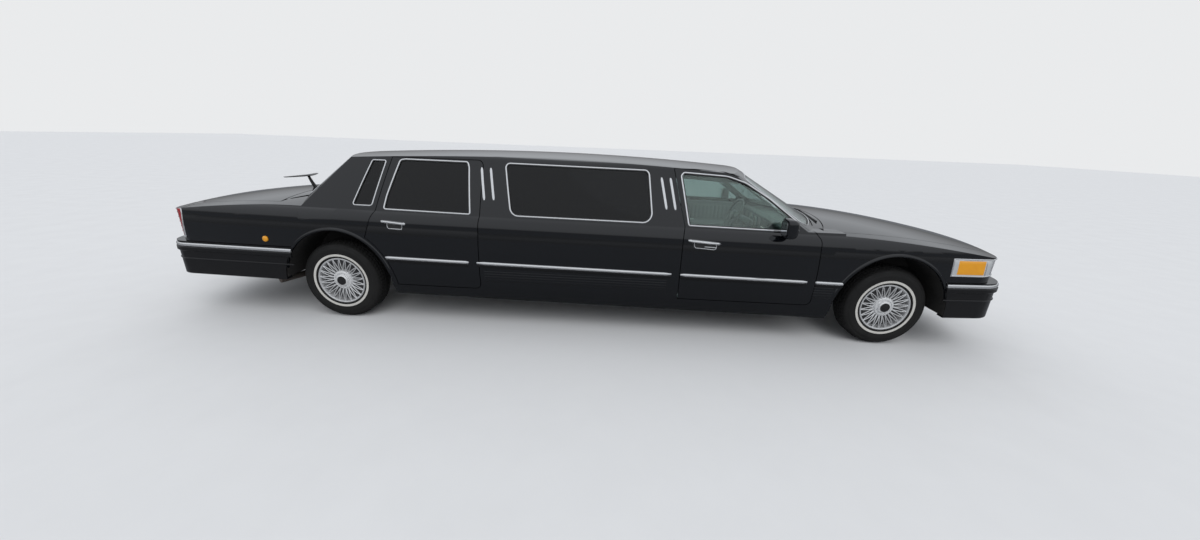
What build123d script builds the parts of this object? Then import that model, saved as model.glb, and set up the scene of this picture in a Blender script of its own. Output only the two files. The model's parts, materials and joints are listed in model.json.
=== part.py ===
"""Stretch limousine: a large four-door sedan lengthened between its doors.

Millimetres. X forward, Y left, Z up. The origin is on the ground, at mid-length
on the centreline. The right side (negative Y) is drawn and then mirrored.
"""
from build123d import *
from math import cos, degrees, radians, sin, sqrt, tan
import os

# Overall layout
WHEELBASE = 4633.0
FRONT_OVERHANG = 1040.0
REAR_OVERHANG = 1541.0
LENGTH = WHEELBASE + FRONT_OVERHANG + REAR_OVERHANG
FRONT_AXLE = LENGTH / 2 - FRONT_OVERHANG
REAR_AXLE = FRONT_AXLE - WHEELBASE
FRONT_TRACK = 1595.0
REAR_TRACK = 1608.0
BODY_RAKE = 0.54  # degrees that the body's lines rise towards the rear

# Wheels and tyres
TYRE_RADIUS = 341.0
TYRE_WIDTH = 215.0
AXLE_HEIGHT = TYRE_RADIUS
TYRE_SHOULDER = 16.0
RIM_RADIUS = 203.0
RIM_WIDTH = 190.0
RIM_WALL = 12.0
SPOKE_PAIRS = 20
SPOKE_SPREAD = 0.92  # a pair's tips spread over this share of its angle
SPOKE_WIDTH = 16.0
SPOKE_THICK = 5.0
SPOKE_ROOT = 8.0
SPOKE_SETBACK = 24.0
HUB_RADIUS = 86.0
HUB_DEPTH = 28.0
HUB_CAP_RADIUS = 54.0
HUB_CAP_DEPTH = 52.0

# Body surfaces
HALF_WIDTH = 974.0
BELT_HALF = 893.0
BELT_Z = 950.0
ROOF_Z = 1445.0
RAIL_HALF = 711.0
RAIL_Z = 1376.0
SILL_Z = 240.0
ROOF_PEAK = REAR_AXLE + 1620.0
ROOF_LENGTH_RADIUS = 26000.0
ROOF_CROWN_RADIUS = 9500.0
HOOD_Z = 978.0
HOOD_PEAK = FRONT_AXLE - 650.0
HOOD_LENGTH_RADIUS = 8000.0
DECK_Z = 1020.0
DECK_PEAK = REAR_AXLE - 350.0
DECK_LENGTH_RADIUS = 7500.0
LID_CROWN_RADIUS = 9000.0
NOSE_BOW_RADIUS = 2500.0
TAIL_BOW_RADIUS = 4700.0
NOSE_CORNER = 240.0
TAIL_CORNER = 180.0
FRONT_TAPER_RADIUS = 16000.0
REAR_TAPER_RADIUS = 60000.0
TAPER_FRONT_START = FRONT_AXLE - 560.0
TAPER_REAR_START = REAR_AXLE + 1290.0
BUMPER_REACH = 80.0  # bumpers stand out this far beyond the body's ends
FLANK_MARGIN = 1.0  # the plan outline clears the flanks by this much
END_ZONE = 2000.0  # length of each tapering end in the plan outline

# Windscreen and rear window centre lines: base x, base z, top x, top z, cross radius
WINDSCREEN = (FRONT_AXLE - 474.0, 975.0, FRONT_AXLE - 1082.0, 1328.0, 2550.0)
BACKLIGHT = (REAR_AXLE - 545.0, 1020.0, REAR_AXLE - 90.0, 1378.0, 1900.0)

# Walls and clearances
SKIN = 8.0
LID = 24.0
FRAME = 36.0
GLASS_INSET = 5.0
GLASS = 5.0
CABIN_HALF = 835.0
SHUT_GAP = 6.0
SEAT_GAP = 0.3
DOOR_DRAFT = 12.0
DOOR_FACE_Y = 955.0

# Cabin and boot
FLOOR_Z = 312.0
FLOOR = 20.0
FIREWALL = FRONT_AXLE - 470.0
REAR_BULKHEAD = REAR_AXLE - 330.0
ARCH_RADIUS = 455.0
ARCH_SHIFT = 25.0
LINER = 6.0
UPPER_CABIN_Z = 720.0  # above this the cabin follows the body's top

FAR = 1500.0
TALL = 1700.0


def polygon(points, radii):
    """Closed outline with rounded corners, in the drawing plane."""
    return make_face(FilletPolyline(*points, radius=radii, close=True))


def box(x0, x1, y0, y1, z0, z1):
    return Pos((x0 + x1) / 2, (y0 + y1) / 2, (z0 + z1) / 2) * Box(abs(x1 - x0), abs(y1 - y0), abs(z1 - z0))


def prism_y(face, y0, y1):
    """Side-view outline carried across the car from y0 to y1."""
    return Pos(0, max(y0, y1), 0) * extrude(Plane.XZ * face, abs(y1 - y0))


def prism_z(face, z0, z1):
    """Plan outline carried from z0 to z1."""
    return Pos(0, 0, z0) * extrude(face, z1 - z0)


def rod(start, end, radius):
    """Round bar from one point to another."""
    a, b = Vector(*start), Vector(*end)
    return Plane(origin=a, z_dir=b - a) * Cylinder(
        radius, (b - a).length, align=(Align.CENTER, Align.CENTER, Align.MIN))


def mirrored(shape):
    return mirror(shape, about=Plane.XZ)


def pair(shape):
    """The right-hand solid and its left-hand twin in one node."""
    return Compound(list(shape.solids()) + list(mirrored(shape).solids()))


def flank_section(inset):
    """Section of the body, open to the far side: sill, side, shoulder, glass and roof rail."""
    edges = [
        Line((FAR, SILL_Z), (-(HALF_WIDTH - 72), SILL_Z)),
        Line((-(HALF_WIDTH - 72), SILL_Z), (-(HALF_WIDTH - 26), SILL_Z + 95)),
        ThreePointArc((-(HALF_WIDTH - 26), SILL_Z + 95), (-(HALF_WIDTH - 7), SILL_Z + 220), (-HALF_WIDTH, 600)),
        ThreePointArc((-HALF_WIDTH, 600), (-(HALF_WIDTH - 4), 730), (-(HALF_WIDTH - 20), 850)),
        ThreePointArc((-(HALF_WIDTH - 20), 850), (-(HALF_WIDTH - 42), 918), (-BELT_HALF, BELT_Z)),
        ThreePointArc((-BELT_HALF, BELT_Z), (-(BELT_HALF - 88), 1172), (-RAIL_HALF, RAIL_Z)),
        ThreePointArc((-RAIL_HALF, RAIL_Z), (-(RAIL_HALF - 15), RAIL_Z + 21), (-(RAIL_HALF - 37), RAIL_Z + 36)),
        Line((-(RAIL_HALF - 37), RAIL_Z + 36), (0, TALL)),
        Line((0, TALL), (FAR, TALL)),
        Line((FAR, TALL), (FAR, SILL_Z)),
    ]
    face = make_face(edges)
    return offset(face, amount=-inset) if inset else face


def flank(inset):
    """Everything inboard of the right flank, tapered towards both ends."""
    face = Plane.YZ * flank_section(inset)
    front_face = Pos(TAPER_FRONT_START, 0, 0) * face
    rear_face = Pos(TAPER_REAR_START, 0, 0) * face
    front_axis = Axis((TAPER_FRONT_START, FRONT_TAPER_RADIUS - HALF_WIDTH, 0), (0, 0, 1))
    rear_axis = Axis((TAPER_REAR_START, REAR_TAPER_RADIUS - HALF_WIDTH, 0), (0, 0, -1))
    middle = extrude(rear_face, TAPER_FRONT_START - TAPER_REAR_START, dir=(1, 0, 0))
    front = revolve(front_face, axis=front_axis, revolution_arc=degrees(END_ZONE / FRONT_TAPER_RADIUS))
    rear = revolve(rear_face, axis=rear_axis, revolution_arc=degrees(END_ZONE * 1.6 / REAR_TAPER_RADIUS))
    return Rot(0, BODY_RAKE, 0) * (middle + front + rear)


def crowned(x_peak, z_peak, length_radius, crown_radius, x_from, x_to, inset):
    """Solid under a surface that is one arc along the car and another across it."""
    top = z_peak - inset
    crown = crown_radius - inset
    along = length_radius - inset
    edge_z = top - crown + sqrt(crown ** 2 - HALF_WIDTH ** 2)
    face = make_face([
        ThreePointArc((-HALF_WIDTH, edge_z), (0, top), (HALF_WIDTH, edge_z)),
        Line((HALF_WIDTH, edge_z), (HALF_WIDTH, 0)),
        Line((HALF_WIDTH, 0), (-HALF_WIDTH, 0)),
        Line((-HALF_WIDTH, 0), (-HALF_WIDTH, edge_z)),
    ])
    centre = (x_peak, 0, top - along)
    section = Pos(x_peak, 0, 0) * (Plane.YZ * face)
    start = degrees((x_from - x_peak) / along)
    sweep = degrees((x_to - x_from) / along)
    axis = Axis(centre, (0, 1, 0))
    return revolve(section.rotate(axis, start), axis=axis, revolution_arc=sweep)


def screen_drum(line, inset):
    """Drum whose surface is a bowed window: its axis follows the window's slope."""
    base_x, base_z, top_x, top_z, radius = line
    slope = Vector(top_x - base_x, 0, top_z - base_z).normalized()
    outward = Vector(abs(slope.Z), 0, abs(slope.X))
    if top_x > base_x:
        outward = Vector(-abs(slope.Z), 0, abs(slope.X))
    middle = Vector((base_x + top_x) / 2, 0, (base_z + top_z) / 2)
    centre = middle - outward * radius
    return Plane(origin=centre, z_dir=slope) * Cylinder(radius - inset, 7000)


def end_corner(end, sign, bow, taper_start, taper_radius, reach):
    """Corner of the plan outline, where the bowed end meets the tapered flank, and a point back along it."""
    tangent_x = end - sign * reach
    run = abs(tangent_x - taper_start)
    flank_y = HALF_WIDTH - taper_radius + sqrt(taper_radius ** 2 - run ** 2) + FLANK_MARGIN
    slope = run / sqrt(taper_radius ** 2 - run ** 2)
    corner_y = flank_y
    for _ in range(6):
        corner_x = end - sign * (bow - sqrt(bow ** 2 - corner_y ** 2))
        corner_y = flank_y - slope * abs(corner_x - tangent_x)
    back_x = end - sign * END_ZONE
    return corner_x, corner_y, back_x, flank_y + slope * abs(back_x - tangent_x)


def plan(inset):
    """Plan outline with a bowed nose and tail and rounded corners."""
    nose = LENGTH / 2 - BUMPER_REACH
    tail = -nose
    nx, ny, nbx, nby = end_corner(nose, 1, NOSE_BOW_RADIUS, TAPER_FRONT_START, FRONT_TAPER_RADIUS, NOSE_CORNER)
    tx, ty, tbx, tby = end_corner(tail, -1, TAIL_BOW_RADIUS, TAPER_REAR_START, REAR_TAPER_RADIUS, TAIL_CORNER)
    face = make_face([
        ThreePointArc((nx, -ny), (nose, 0), (nx, ny)),
        Line((nx, ny), (nbx, nby)),
        Line((nbx, nby), (tbx, tby)),
        Line((tbx, tby), (tx, ty)),
        ThreePointArc((tx, ty), (tail, 0), (tx, -ty)),
        Line((tx, -ty), (tbx, -tby)),
        Line((tbx, -tby), (nbx, -nby)),
        Line((nbx, -nby), (nx, -ny)),
    ])
    front = face.vertices().sort_by(Axis.X)[-2:]
    face = fillet(front, NOSE_CORNER)
    rear = face.vertices().sort_by(Axis.X)[:2]
    face = fillet(rear, TAIL_CORNER)
    return offset(face, amount=-inset) if inset else face


def envelope(inset):
    """Closed body without bumpers, with its whole surface moved inwards by inset."""
    lower = box(DECK_PEAK - 250, HOOD_PEAK + 200, -HALF_WIDTH, HALF_WIDTH, 0, BELT_Z - inset)
    hood = crowned(HOOD_PEAK, HOOD_Z, HOOD_LENGTH_RADIUS, LID_CROWN_RADIUS,
                   FRONT_AXLE - 900, LENGTH / 2 + 200, inset)
    deck = crowned(DECK_PEAK, DECK_Z, DECK_LENGTH_RADIUS, LID_CROWN_RADIUS,
                   -LENGTH / 2 - 200, REAR_AXLE - 150, inset)
    roof = crowned(ROOF_PEAK, ROOF_Z, ROOF_LENGTH_RADIUS, ROOF_CROWN_RADIUS,
                   REAR_AXLE - 700, FRONT_AXLE - 300, inset)
    cabin = roof & screen_drum(WINDSCREEN, inset) & screen_drum(BACKLIGHT, inset)
    cabin = cabin & box(-2 * FAR, 2 * FAR, -FAR, FAR, BELT_Z - 100, TALL)
    side = flank(inset)
    footprint = prism_z(plan(inset), 0, TALL)
    return (lower + hood + deck + cabin) & side & mirrored(side) & footprint


OUTER = envelope(0)
OUTER_SEAT = envelope(-SEAT_GAP)

# Shut lines and windows in side view; x is measured from the nearer axle
DOOR_BOTTOM = 356.0
DOOR_TOP = 1387.0
FRONT_DOOR_LEAD = -655.0
FRONT_DOOR_REAR = -1735.0
FRONT_DOOR_REAR_TOP = -1822.0
REAR_DOOR_LEAD = 1240.0
REAR_DOOR_ARCH = 45.0  # the rear door clears the wheel arch by this
DOOR_CORNER = 45.0
JAMB_MARGIN = 90.0

FRONT_DOOR_OUTLINE = [
    (FRONT_DOOR_LEAD, DOOR_BOTTOM), (FRONT_DOOR_LEAD, 895), (-700, 965), (-1045, 1222), (-1240, 1326),
    (-1440, 1376), (FRONT_DOOR_REAR_TOP - JAMB_MARGIN, DOOR_TOP), (FRONT_DOOR_REAR_TOP - JAMB_MARGIN, DOOR_BOTTOM),
]
FRONT_DOOR_RADII = [DOOR_CORNER, 60, 60, 300, 300, 300, 10, 10]
FRONT_GLASS = [(-1692, 962), (-1766, 1335), (-1745, 1357), (-1395, 1341), (-1249, 1297), (-1060, 1186),
               (-829, 1014), (-829, 950)]
FRONT_GLASS_RADII = [12, 20, 20, 260, 200, 300, 12, 8]
REAR_GLASS = [(447, 985), (466, 1088), (549, 1366), (590, 1373), (1112, 1371), (1126, 1330), (1160, 974)]
REAR_GLASS_RADII = [12, 300, 26, 30, 22, 60, 10]
STRETCH_GLASS = [(1500, 976), (1428, 1373), (2600, 1362), (2645, 968)]
STRETCH_GLASS_RADII = [70, 30, 40, 70]
QUARTER_GLASS = [(182, 1006), (315, 1358), (428, 1358), (342, 1006)]
QUARTER_GLASS_RADII = [14, 18, 10, 20]

# Hood and trunk lid in plan; x is measured from the nearer axle
HOOD_REAR_CENTRE = -390.0
HOOD_REAR_EDGE = -585.0
HOOD_HALF = 800.0
HOOD_NOSE_HALF = 700.0
HOOD_NOSE = 905.0
TRUNK_FRONT_CENTRE = -640.0
TRUNK_FRONT_EDGE = -520.0
TRUNK_HALF = 760.0
TRUNK_REAR_HALF = 690.0
LID_FLANGE_Z = 700.0  # the trunk lid comes down the tail to here
LID_HINGE_GAP = 9.0  # wider gap along the edge that a lid turns at
LID_PIN_BACK = 12.0  # hinge pins lie this far from that edge at the lid's corners
LID_PIN_DEPTH = 4.0
LID_PIN_RADIUS = 2.5
LID_RELIEF = (19.0, 84.0)  # radius and length of the hollow inboard of each pin
RUNNING = 0.06  # radial clearance of a turning pin
LAMP_BOTTOM = 655.0
LAMP_TOP = 800.0
LAMP_SIDE = 400.0  # the headlamp wraps back to this far ahead of the axle
LAMP_DEPTH = 60.0
TAIL_LAMP_BOTTOM = 668.0
TAIL_LAMP_TOP = 928.0
TAIL_LAMP_INNER = 620.0
TAIL_LAMP_SIDE = 345.0  # and the tail lamp forward to this far from the tail
GRILLE_HALF = 440.0
LAMP_INNER = GRILLE_HALF + SEAT_GAP
GRILLE_BOTTOM = 612.0
GRILLE_TOP = 795.0
GRILLE_DEPTH = 70.0
GRILLE_BARS = 27
GRILLE_FRAME = 16.0

# Bumpers
FRONT_BUMPER_TOP = 600.0
FRONT_BUMPER_BOTTOM = 300.0
FRONT_BUMPER_END = 385.0
REAR_BUMPER_TOP = 640.0
REAR_BUMPER_BOTTOM = 350.0
REAR_BUMPER_END = -335.0
BUMPER_WALL = 60.0


def flank_half(z):
    """Half width of the flank at height z, for laying out the shut faces."""
    if z <= BELT_Z:
        return DOOR_FACE_Y
    return BELT_HALF + (RAIL_HALF - BELT_HALF) * (z - BELT_Z) / (RAIL_Z - BELT_Z)


def jamb(x, z):
    """Point of a rear shut face on the drawing plane, allowing for its slope across the car."""
    return x - (DOOR_FACE_Y - flank_half(z)) * tan(radians(DOOR_DRAFT)), z


def shut_face(edges, front_x, top_z, gap):
    """Solid ahead of a door's rear shut face, which slopes forward going inboard."""
    first, last = edges[0] @ 0, edges[-1] @ 1
    face = make_face(edges + [
        Line(last, (last.X, top_z)),
        Line((last.X, top_z), (front_x, top_z)),
        Line((front_x, top_z), (front_x, first.Y)),
        Line((front_x, first.Y), first),
    ])
    inward = Vector(tan(radians(DOOR_DRAFT)), 1, 0)
    outer = 200.0
    start = Pos(-gap / cos(radians(DOOR_DRAFT)) - outer * inward.X, -DOOR_FACE_Y - outer, 0)
    return start * extrude(Plane.XZ * face, 600, dir=inward)


def side_outline(points, radii, axle_x):
    return polygon([(axle_x + x, z) for x, z in points], radii)


def front_door_tool(gap):
    """Space of the right front door, grown by gap."""
    face = side_outline(FRONT_DOOR_OUTLINE, FRONT_DOOR_RADII, FRONT_AXLE)
    if gap:
        face = offset(face, amount=gap)
    low = jamb(FRONT_AXLE + FRONT_DOOR_REAR, DOOR_BOTTOM - 100)
    kink = jamb(FRONT_AXLE + FRONT_DOOR_REAR, BELT_Z)
    high = jamb(FRONT_AXLE + FRONT_DOOR_REAR_TOP, RAIL_Z)
    rear = shut_face([Line(low, kink), Line(kink, high)], FRONT_AXLE, TALL, gap)
    return prism_y(face, -FAR, -650) & rear


def rear_door_tool(gap):
    """Space of the right rear door, grown by gap; its rear edge follows the wheel arch."""
    lead = REAR_AXLE + REAR_DOOR_LEAD
    back = REAR_AXLE - JAMB_MARGIN
    points = [(lead, DOOR_BOTTOM), (lead, DOOR_TOP), (back, DOOR_TOP), (back, DOOR_BOTTOM)]
    face = polygon(points, [DOOR_CORNER, DOOR_CORNER, 10, 10])
    if gap:
        face = offset(face, amount=gap)
    centre_x = REAR_AXLE + ARCH_SHIFT
    radius = ARCH_RADIUS + REAR_DOOR_ARCH
    top_angle = radians(56)
    foot = (centre_x + radius * cos(0.03), AXLE_HEIGHT + radius * sin(0.03) - 60)
    bottom = (centre_x + radius * cos(0.03), AXLE_HEIGHT + radius * sin(0.03))
    middle = (centre_x + radius * cos(top_angle / 2), AXLE_HEIGHT + radius * sin(top_angle / 2))
    top = (centre_x + radius * cos(top_angle), AXLE_HEIGHT + radius * sin(top_angle))
    belt = jamb(REAR_AXLE + 362, BELT_Z)
    high = jamb(REAR_AXLE + 479, RAIL_Z)
    edges = [Line(foot, bottom), ThreePointArc(bottom, middle, top), Line(top, belt), Line(belt, high)]
    return prism_y(face, -FAR, -650) & shut_face(edges, REAR_AXLE + 2000, TALL, gap)


def side_window(points, radii, axle_x, gap=0):
    face = side_outline(points, radii, axle_x)
    if gap:
        face = offset(face, amount=gap)
    return prism_y(face, -FAR, -500)


def screen_tool(line, outline):
    """Space of a bowed window: its outline in the sloping plane, carried through the shell."""
    base_x, base_z, top_x, top_z, _ = line
    low_mid, low_edge, high_mid, high_edge, low_half, high_half, corner = outline
    slope = Vector(top_x - base_x, 0, top_z - base_z).normalized()
    across = Vector(0, -1 if top_x > base_x else 1, 0)
    middle = Vector((base_x + top_x) / 2, 0, (base_z + top_z) / 2)
    plane = Plane(origin=middle, x_dir=across, z_dir=across.cross(slope))
    face = make_face([
        ThreePointArc((-low_half, low_edge), (0, low_mid), (low_half, low_edge)),
        Line((low_half, low_edge), (high_half, high_edge)),
        ThreePointArc((high_half, high_edge), (0, high_mid), (-high_half, high_edge)),
        Line((-high_half, high_edge), (-low_half, low_edge)),
    ])
    face = plane * fillet(face.vertices(), corner)
    outward = plane.z_dir if plane.z_dir.Z > 0 else plane.z_dir * -1
    return Pos(*(outward * 20)) * extrude(face, 230, dir=outward * -1)


def screen_pane(line, tool):
    """Bowed sheet of glass that fills the opening."""
    sheet = screen_drum(line, GLASS_INSET) - screen_drum(line, GLASS_INSET + GLASS)
    return sheet & tool


def hood_tool(gap):
    """Plan of the hood: rear edge bowed round the windscreen, sides closing in to the nose."""
    fx = FRONT_AXLE - (LID_HINGE_GAP - SHUT_GAP if gap else 0)
    nose = LENGTH / 2
    face = make_face([
        ThreePointArc((fx + HOOD_REAR_EDGE, -HOOD_HALF), (fx + HOOD_REAR_CENTRE, 0), (fx + HOOD_REAR_EDGE, HOOD_HALF)),
        Line((fx + HOOD_REAR_EDGE, HOOD_HALF), (nose, HOOD_NOSE_HALF)),
        Line((nose, HOOD_NOSE_HALF), (nose, -HOOD_NOSE_HALF)),
        Line((nose, -HOOD_NOSE_HALF), (fx + HOOD_REAR_EDGE, -HOOD_HALF)),
    ])
    if gap:
        face = offset(face, amount=gap)
    return prism_z(face, LAMP_TOP + SHUT_GAP - gap, TALL)


def trunk_tool(gap):
    """Plan of the trunk lid, which turns down over the tail between the lamps."""
    rx = REAR_AXLE + (LID_HINGE_GAP - SHUT_GAP if gap else 0)
    tail = -LENGTH / 2
    face = make_face([
        ThreePointArc((rx + TRUNK_FRONT_EDGE, -TRUNK_HALF), (rx + TRUNK_FRONT_CENTRE, 0),
                      (rx + TRUNK_FRONT_EDGE, TRUNK_HALF)),
        Line((rx + TRUNK_FRONT_EDGE, TRUNK_HALF), (tail, TRUNK_REAR_HALF)),
        Line((tail, TRUNK_REAR_HALF), (tail, -TRUNK_REAR_HALF)),
        Line((tail, -TRUNK_REAR_HALF), (rx + TRUNK_FRONT_EDGE, -TRUNK_HALF)),
    ])
    if gap:
        face = offset(face, amount=gap)
    top = prism_z(face, TAIL_LAMP_TOP + SHUT_GAP - gap, TALL)
    across = TAIL_LAMP_INNER - SHUT_GAP + gap
    drop = box(tail, tail + 300, -across, across, LID_FLANGE_Z - gap, TALL)
    return top + drop


def arch(axle_x, shift, radius, y0, y1):
    """Space of a wheel arch between two planes across the car: round over the axle, straight below it."""
    x = axle_x + shift
    face = make_face([
        ThreePointArc((x - radius, AXLE_HEIGHT), (x, AXLE_HEIGHT + radius), (x + radius, AXLE_HEIGHT)),
        Line((x + radius, AXLE_HEIGHT), (x + radius, -10)),
        Line((x + radius, -10), (x - radius, -10)),
        Line((x - radius, -10), (x - radius, AXLE_HEIGHT)),
    ])
    return prism_y(face, y0, y1)


def bumper(top, bottom, end_x, sign):
    """Bumper wrapped round one end of the body, with its own bowed outline."""
    outer = Pos(sign * BUMPER_REACH, 0, 0) * plan(0)
    inner = Pos(sign * BUMPER_REACH, 0, 0) * plan(BUMPER_WALL)
    band = prism_z(outer, bottom, top) - prism_z(inner, bottom - 1, top + 1)
    band = band & box(end_x, sign * LENGTH, -FAR, FAR, bottom, top)
    axle_x, shift = (FRONT_AXLE, -ARCH_SHIFT) if sign > 0 else (REAR_AXLE, ARCH_SHIFT)
    wheel_space = arch(axle_x, shift, ARCH_RADIUS + 2 + LINER, -FAR, -WHEEL_HOUSE_Y)
    return band - wheel_space - mirrored(wheel_space)


DOOR_LEADS = (FRONT_AXLE + FRONT_DOOR_LEAD, REAR_AXLE + REAR_DOOR_LEAD)
HINGE_AHEAD = 60.0  # a door's pin lies this far ahead of its leading edge
HINGE_Y = HALF_WIDTH - 24.0
HINGE_HEIGHTS = (520.0, 690.0)
HINGE_PIN = 5.0
HINGE_EYE = 10.5
HINGE_ARM = (110.0, 10.0, 40.0)  # length, thickness and height
HINGE_ARM_TURN = 125.5


def door_hinge(lead):
    """Pocket in the pillar, the pins in it, and the arms that run from the pins inboard and back to the door."""
    x = lead + HINGE_AHEAD
    length, thick, tall = HINGE_ARM
    pockets, pins, arms = [], [], []
    for z in HINGE_HEIGHTS:
        pockets.append(box(lead, x + HINGE_EYE + SHUT_GAP, -HINGE_Y - 16, -HINGE_Y + 94, z - tall / 2 - 5, z + tall / 2 + 5))
        pins.append(rod((x, -HINGE_Y, z - tall / 2 - 12), (x, -HINGE_Y, z + tall / 2 + 12), HINGE_PIN))
        plate = Pos(length / 2, 0, 0) * Box(length, thick, tall)
        eye = Cylinder(HINGE_EYE, tall)
        bore = Cylinder(HINGE_PIN + RUNNING, tall + 2)
        arms.append(Pos(x, -HINGE_Y, z) * ((Rot(0, 0, HINGE_ARM_TURN) * plate + eye) - bore))
    return pockets[0] + pockets[1], pins[0] + pins[1], arms[0] + arms[1]


def lid_pins(edge_x, sign, half, surface_z, radius, inner, outer):
    """Short pins across the car at a lid's hinge corners, from inner to outer beyond the lid's side."""
    x = edge_x + sign * LID_PIN_BACK
    z = surface_z - LID_PIN_DEPTH
    return both_halves(rod((x, -half - inner, z), (x, -half - outer, z), radius))


def lid_relief(edge_x, sign, half, surface_z, radius, span):
    """Round hollow about a lid's hinge line, where its edge swings back past the pillars' feet."""
    x = edge_x + sign * LID_PIN_BACK
    z = surface_z - LID_PIN_DEPTH
    return both_halves(rod((x, -half, z), (x, -half + span, z), radius))


def hood_surface(x, y):
    return HOOD_Z - (x - HOOD_PEAK) ** 2 / (2 * HOOD_LENGTH_RADIUS) - y ** 2 / (2 * LID_CROWN_RADIUS)


def deck_surface(x, y):
    return DECK_Z - (x - DECK_PEAK) ** 2 / (2 * DECK_LENGTH_RADIUS) - y ** 2 / (2 * LID_CROWN_RADIUS)


HOOD_HINGE = (FRONT_AXLE + HOOD_REAR_EDGE, 1, HOOD_HALF, hood_surface(FRONT_AXLE + HOOD_REAR_EDGE, HOOD_HALF))
TRUNK_HINGE = (REAR_AXLE + TRUNK_FRONT_EDGE, -1, TRUNK_HALF, deck_surface(REAR_AXLE + TRUNK_FRONT_EDGE, TRUNK_HALF))


# Interior
PARTITION = FRONT_AXLE - 1850.0
PARTITION_WALL = 50.0
SEAT_HALF = 265.0
SEAT_Y = 380.0
SEAT_FRONT = FRONT_AXLE - 1120.0
SEAT_LENGTH = 480.0
SEAT_TOP = 600.0
SEAT_THICK = 130.0
BACK_THICK = 130.0
BACK_TOP = 1120.0
BACK_LEAN = 14.0
DASH_FACE = FRONT_AXLE - 760.0
STEERING_CENTRE = (FRONT_AXLE - 985.0, 375.0, 850.0)
STEERING_RADIUS = 190.0
STEERING_TUBE = 13.0
STEERING_SIDES = 8
STEERING_HUB = 46.0
STEERING_HUB_RADIUS = 58.0
COLUMN_TILT = 24.0
COLUMN_RADIUS = 30.0

# Mirrors and wipers
MIRROR_CORNER = 30.0
WIPER_BAR = 10.0

# Chassis
RAIL_WIDTH = 70.0
CHASSIS_Y = 480.0
CHASSIS_Y_FRONT = 390.0
CHASSIS_BOTTOM = 195.0
CHASSIS_TOP = FLOOR_Z - SEAT_GAP
SHAFT_Z = 352.0
SHAFT_RADIUS = 38.0
GEARBOX_RADIUS = 85.0
TUNNEL_RADIUS = 150.0
TUNNEL_WALL = 18.0
TUNNEL_Z = 300.0
ENGINE_HALF_LENGTH = 330.0
ENGINE_HALF_WIDTH = 275.0
ENGINE_BOTTOM = 318.0
ENGINE_TOP = 810.0
KINGPIN_Y = 700.0
UPRIGHT_LOW = 225.0
UPRIGHT_HIGH = 455.0
ARM_THICK = 24.0
ARM_HALF = 30.0
AXLE_TUBE = 42.0
DIFF_RADIUS = 145.0
DIFF_HALF = 75.0
DIFF_NOSE = 240.0  # the differential's nose reaches this far ahead of the axle
DIFF_NOSE_RADIUS = 70.0
DISC_RADIUS = 140.0
HUB_OFFSET = 30.0  # the wheel's disc seats this far outboard of the tyre's middle
STUB_RADIUS = 34.0
PIPE_RADIUS = 28.0
PIPE_SIDES = 12
EXHAUST_Y = 250.0
EXHAUST_Z = 250.0
SEAT_PAN_Z = 504.0
KICK_UP = SEAT_PAN_Z - FLOOR_Z
SEAT_PAN_FRONT = REAR_AXLE + 560.0
WHEEL_HOUSE_Y = 575.0


def hollows(bay, upper):
    """Spaces inside the body: cabin below and above the belt, engine bay, boot and open underside."""
    front = box(FIREWALL + LINER, LENGTH, -FAR, FAR, 0, TALL)
    rear = box(-LENGTH, REAR_BULKHEAD - LINER, -FAR, FAR, 0, TALL)
    underside = (front + rear) & box(-LENGTH, LENGTH, -FAR, FAR, 0, SILL_Z + 60)
    inner_side = flank(SKIN) & mirrored(flank(SKIN)) & prism_z(plan(SKIN), 0, TALL)
    cabin = box(REAR_BULKHEAD, FIREWALL, -CABIN_HALF, CABIN_HALF, 0, UPPER_CABIN_Z)
    middle = box(REAR_BULKHEAD, FIREWALL, -CABIN_HALF, CABIN_HALF, UPPER_CABIN_Z, BELT_Z - 20)
    high = box(REAR_BULKHEAD - 200, FRONT_AXLE, -FAR, FAR, BELT_Z - 20, TALL)
    cabin += upper & (middle + high)
    return [
        cabin,
        bay & front,
        bay & rear,
        underside & Pos(0, 0, -80) * inner_side,
    ]


# Outline of each bowed window along its slope: lower edge at the middle and the side,
# upper edge at the middle and the side, half width below and above, corner radius
WINDSCREEN_OUTLINE = (-325, -130, 395, 470, 790, 632, 50)
BACKLIGHT_OUTLINE = (-250, -144, 265, 335, 670, 575, 50)
WINDSCREEN_OPENING = screen_tool(WINDSCREEN, WINDSCREEN_OUTLINE)
BACKLIGHT_OPENING = screen_tool(BACKLIGHT, BACKLIGHT_OUTLINE)


def door_inboard(gap):
    """Space inboard of the door frames above the belt."""
    depth = FRAME + gap
    return flank(depth) & box(-LENGTH, LENGTH, -FAR, FAR, BELT_Z - 20, TALL)


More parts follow.
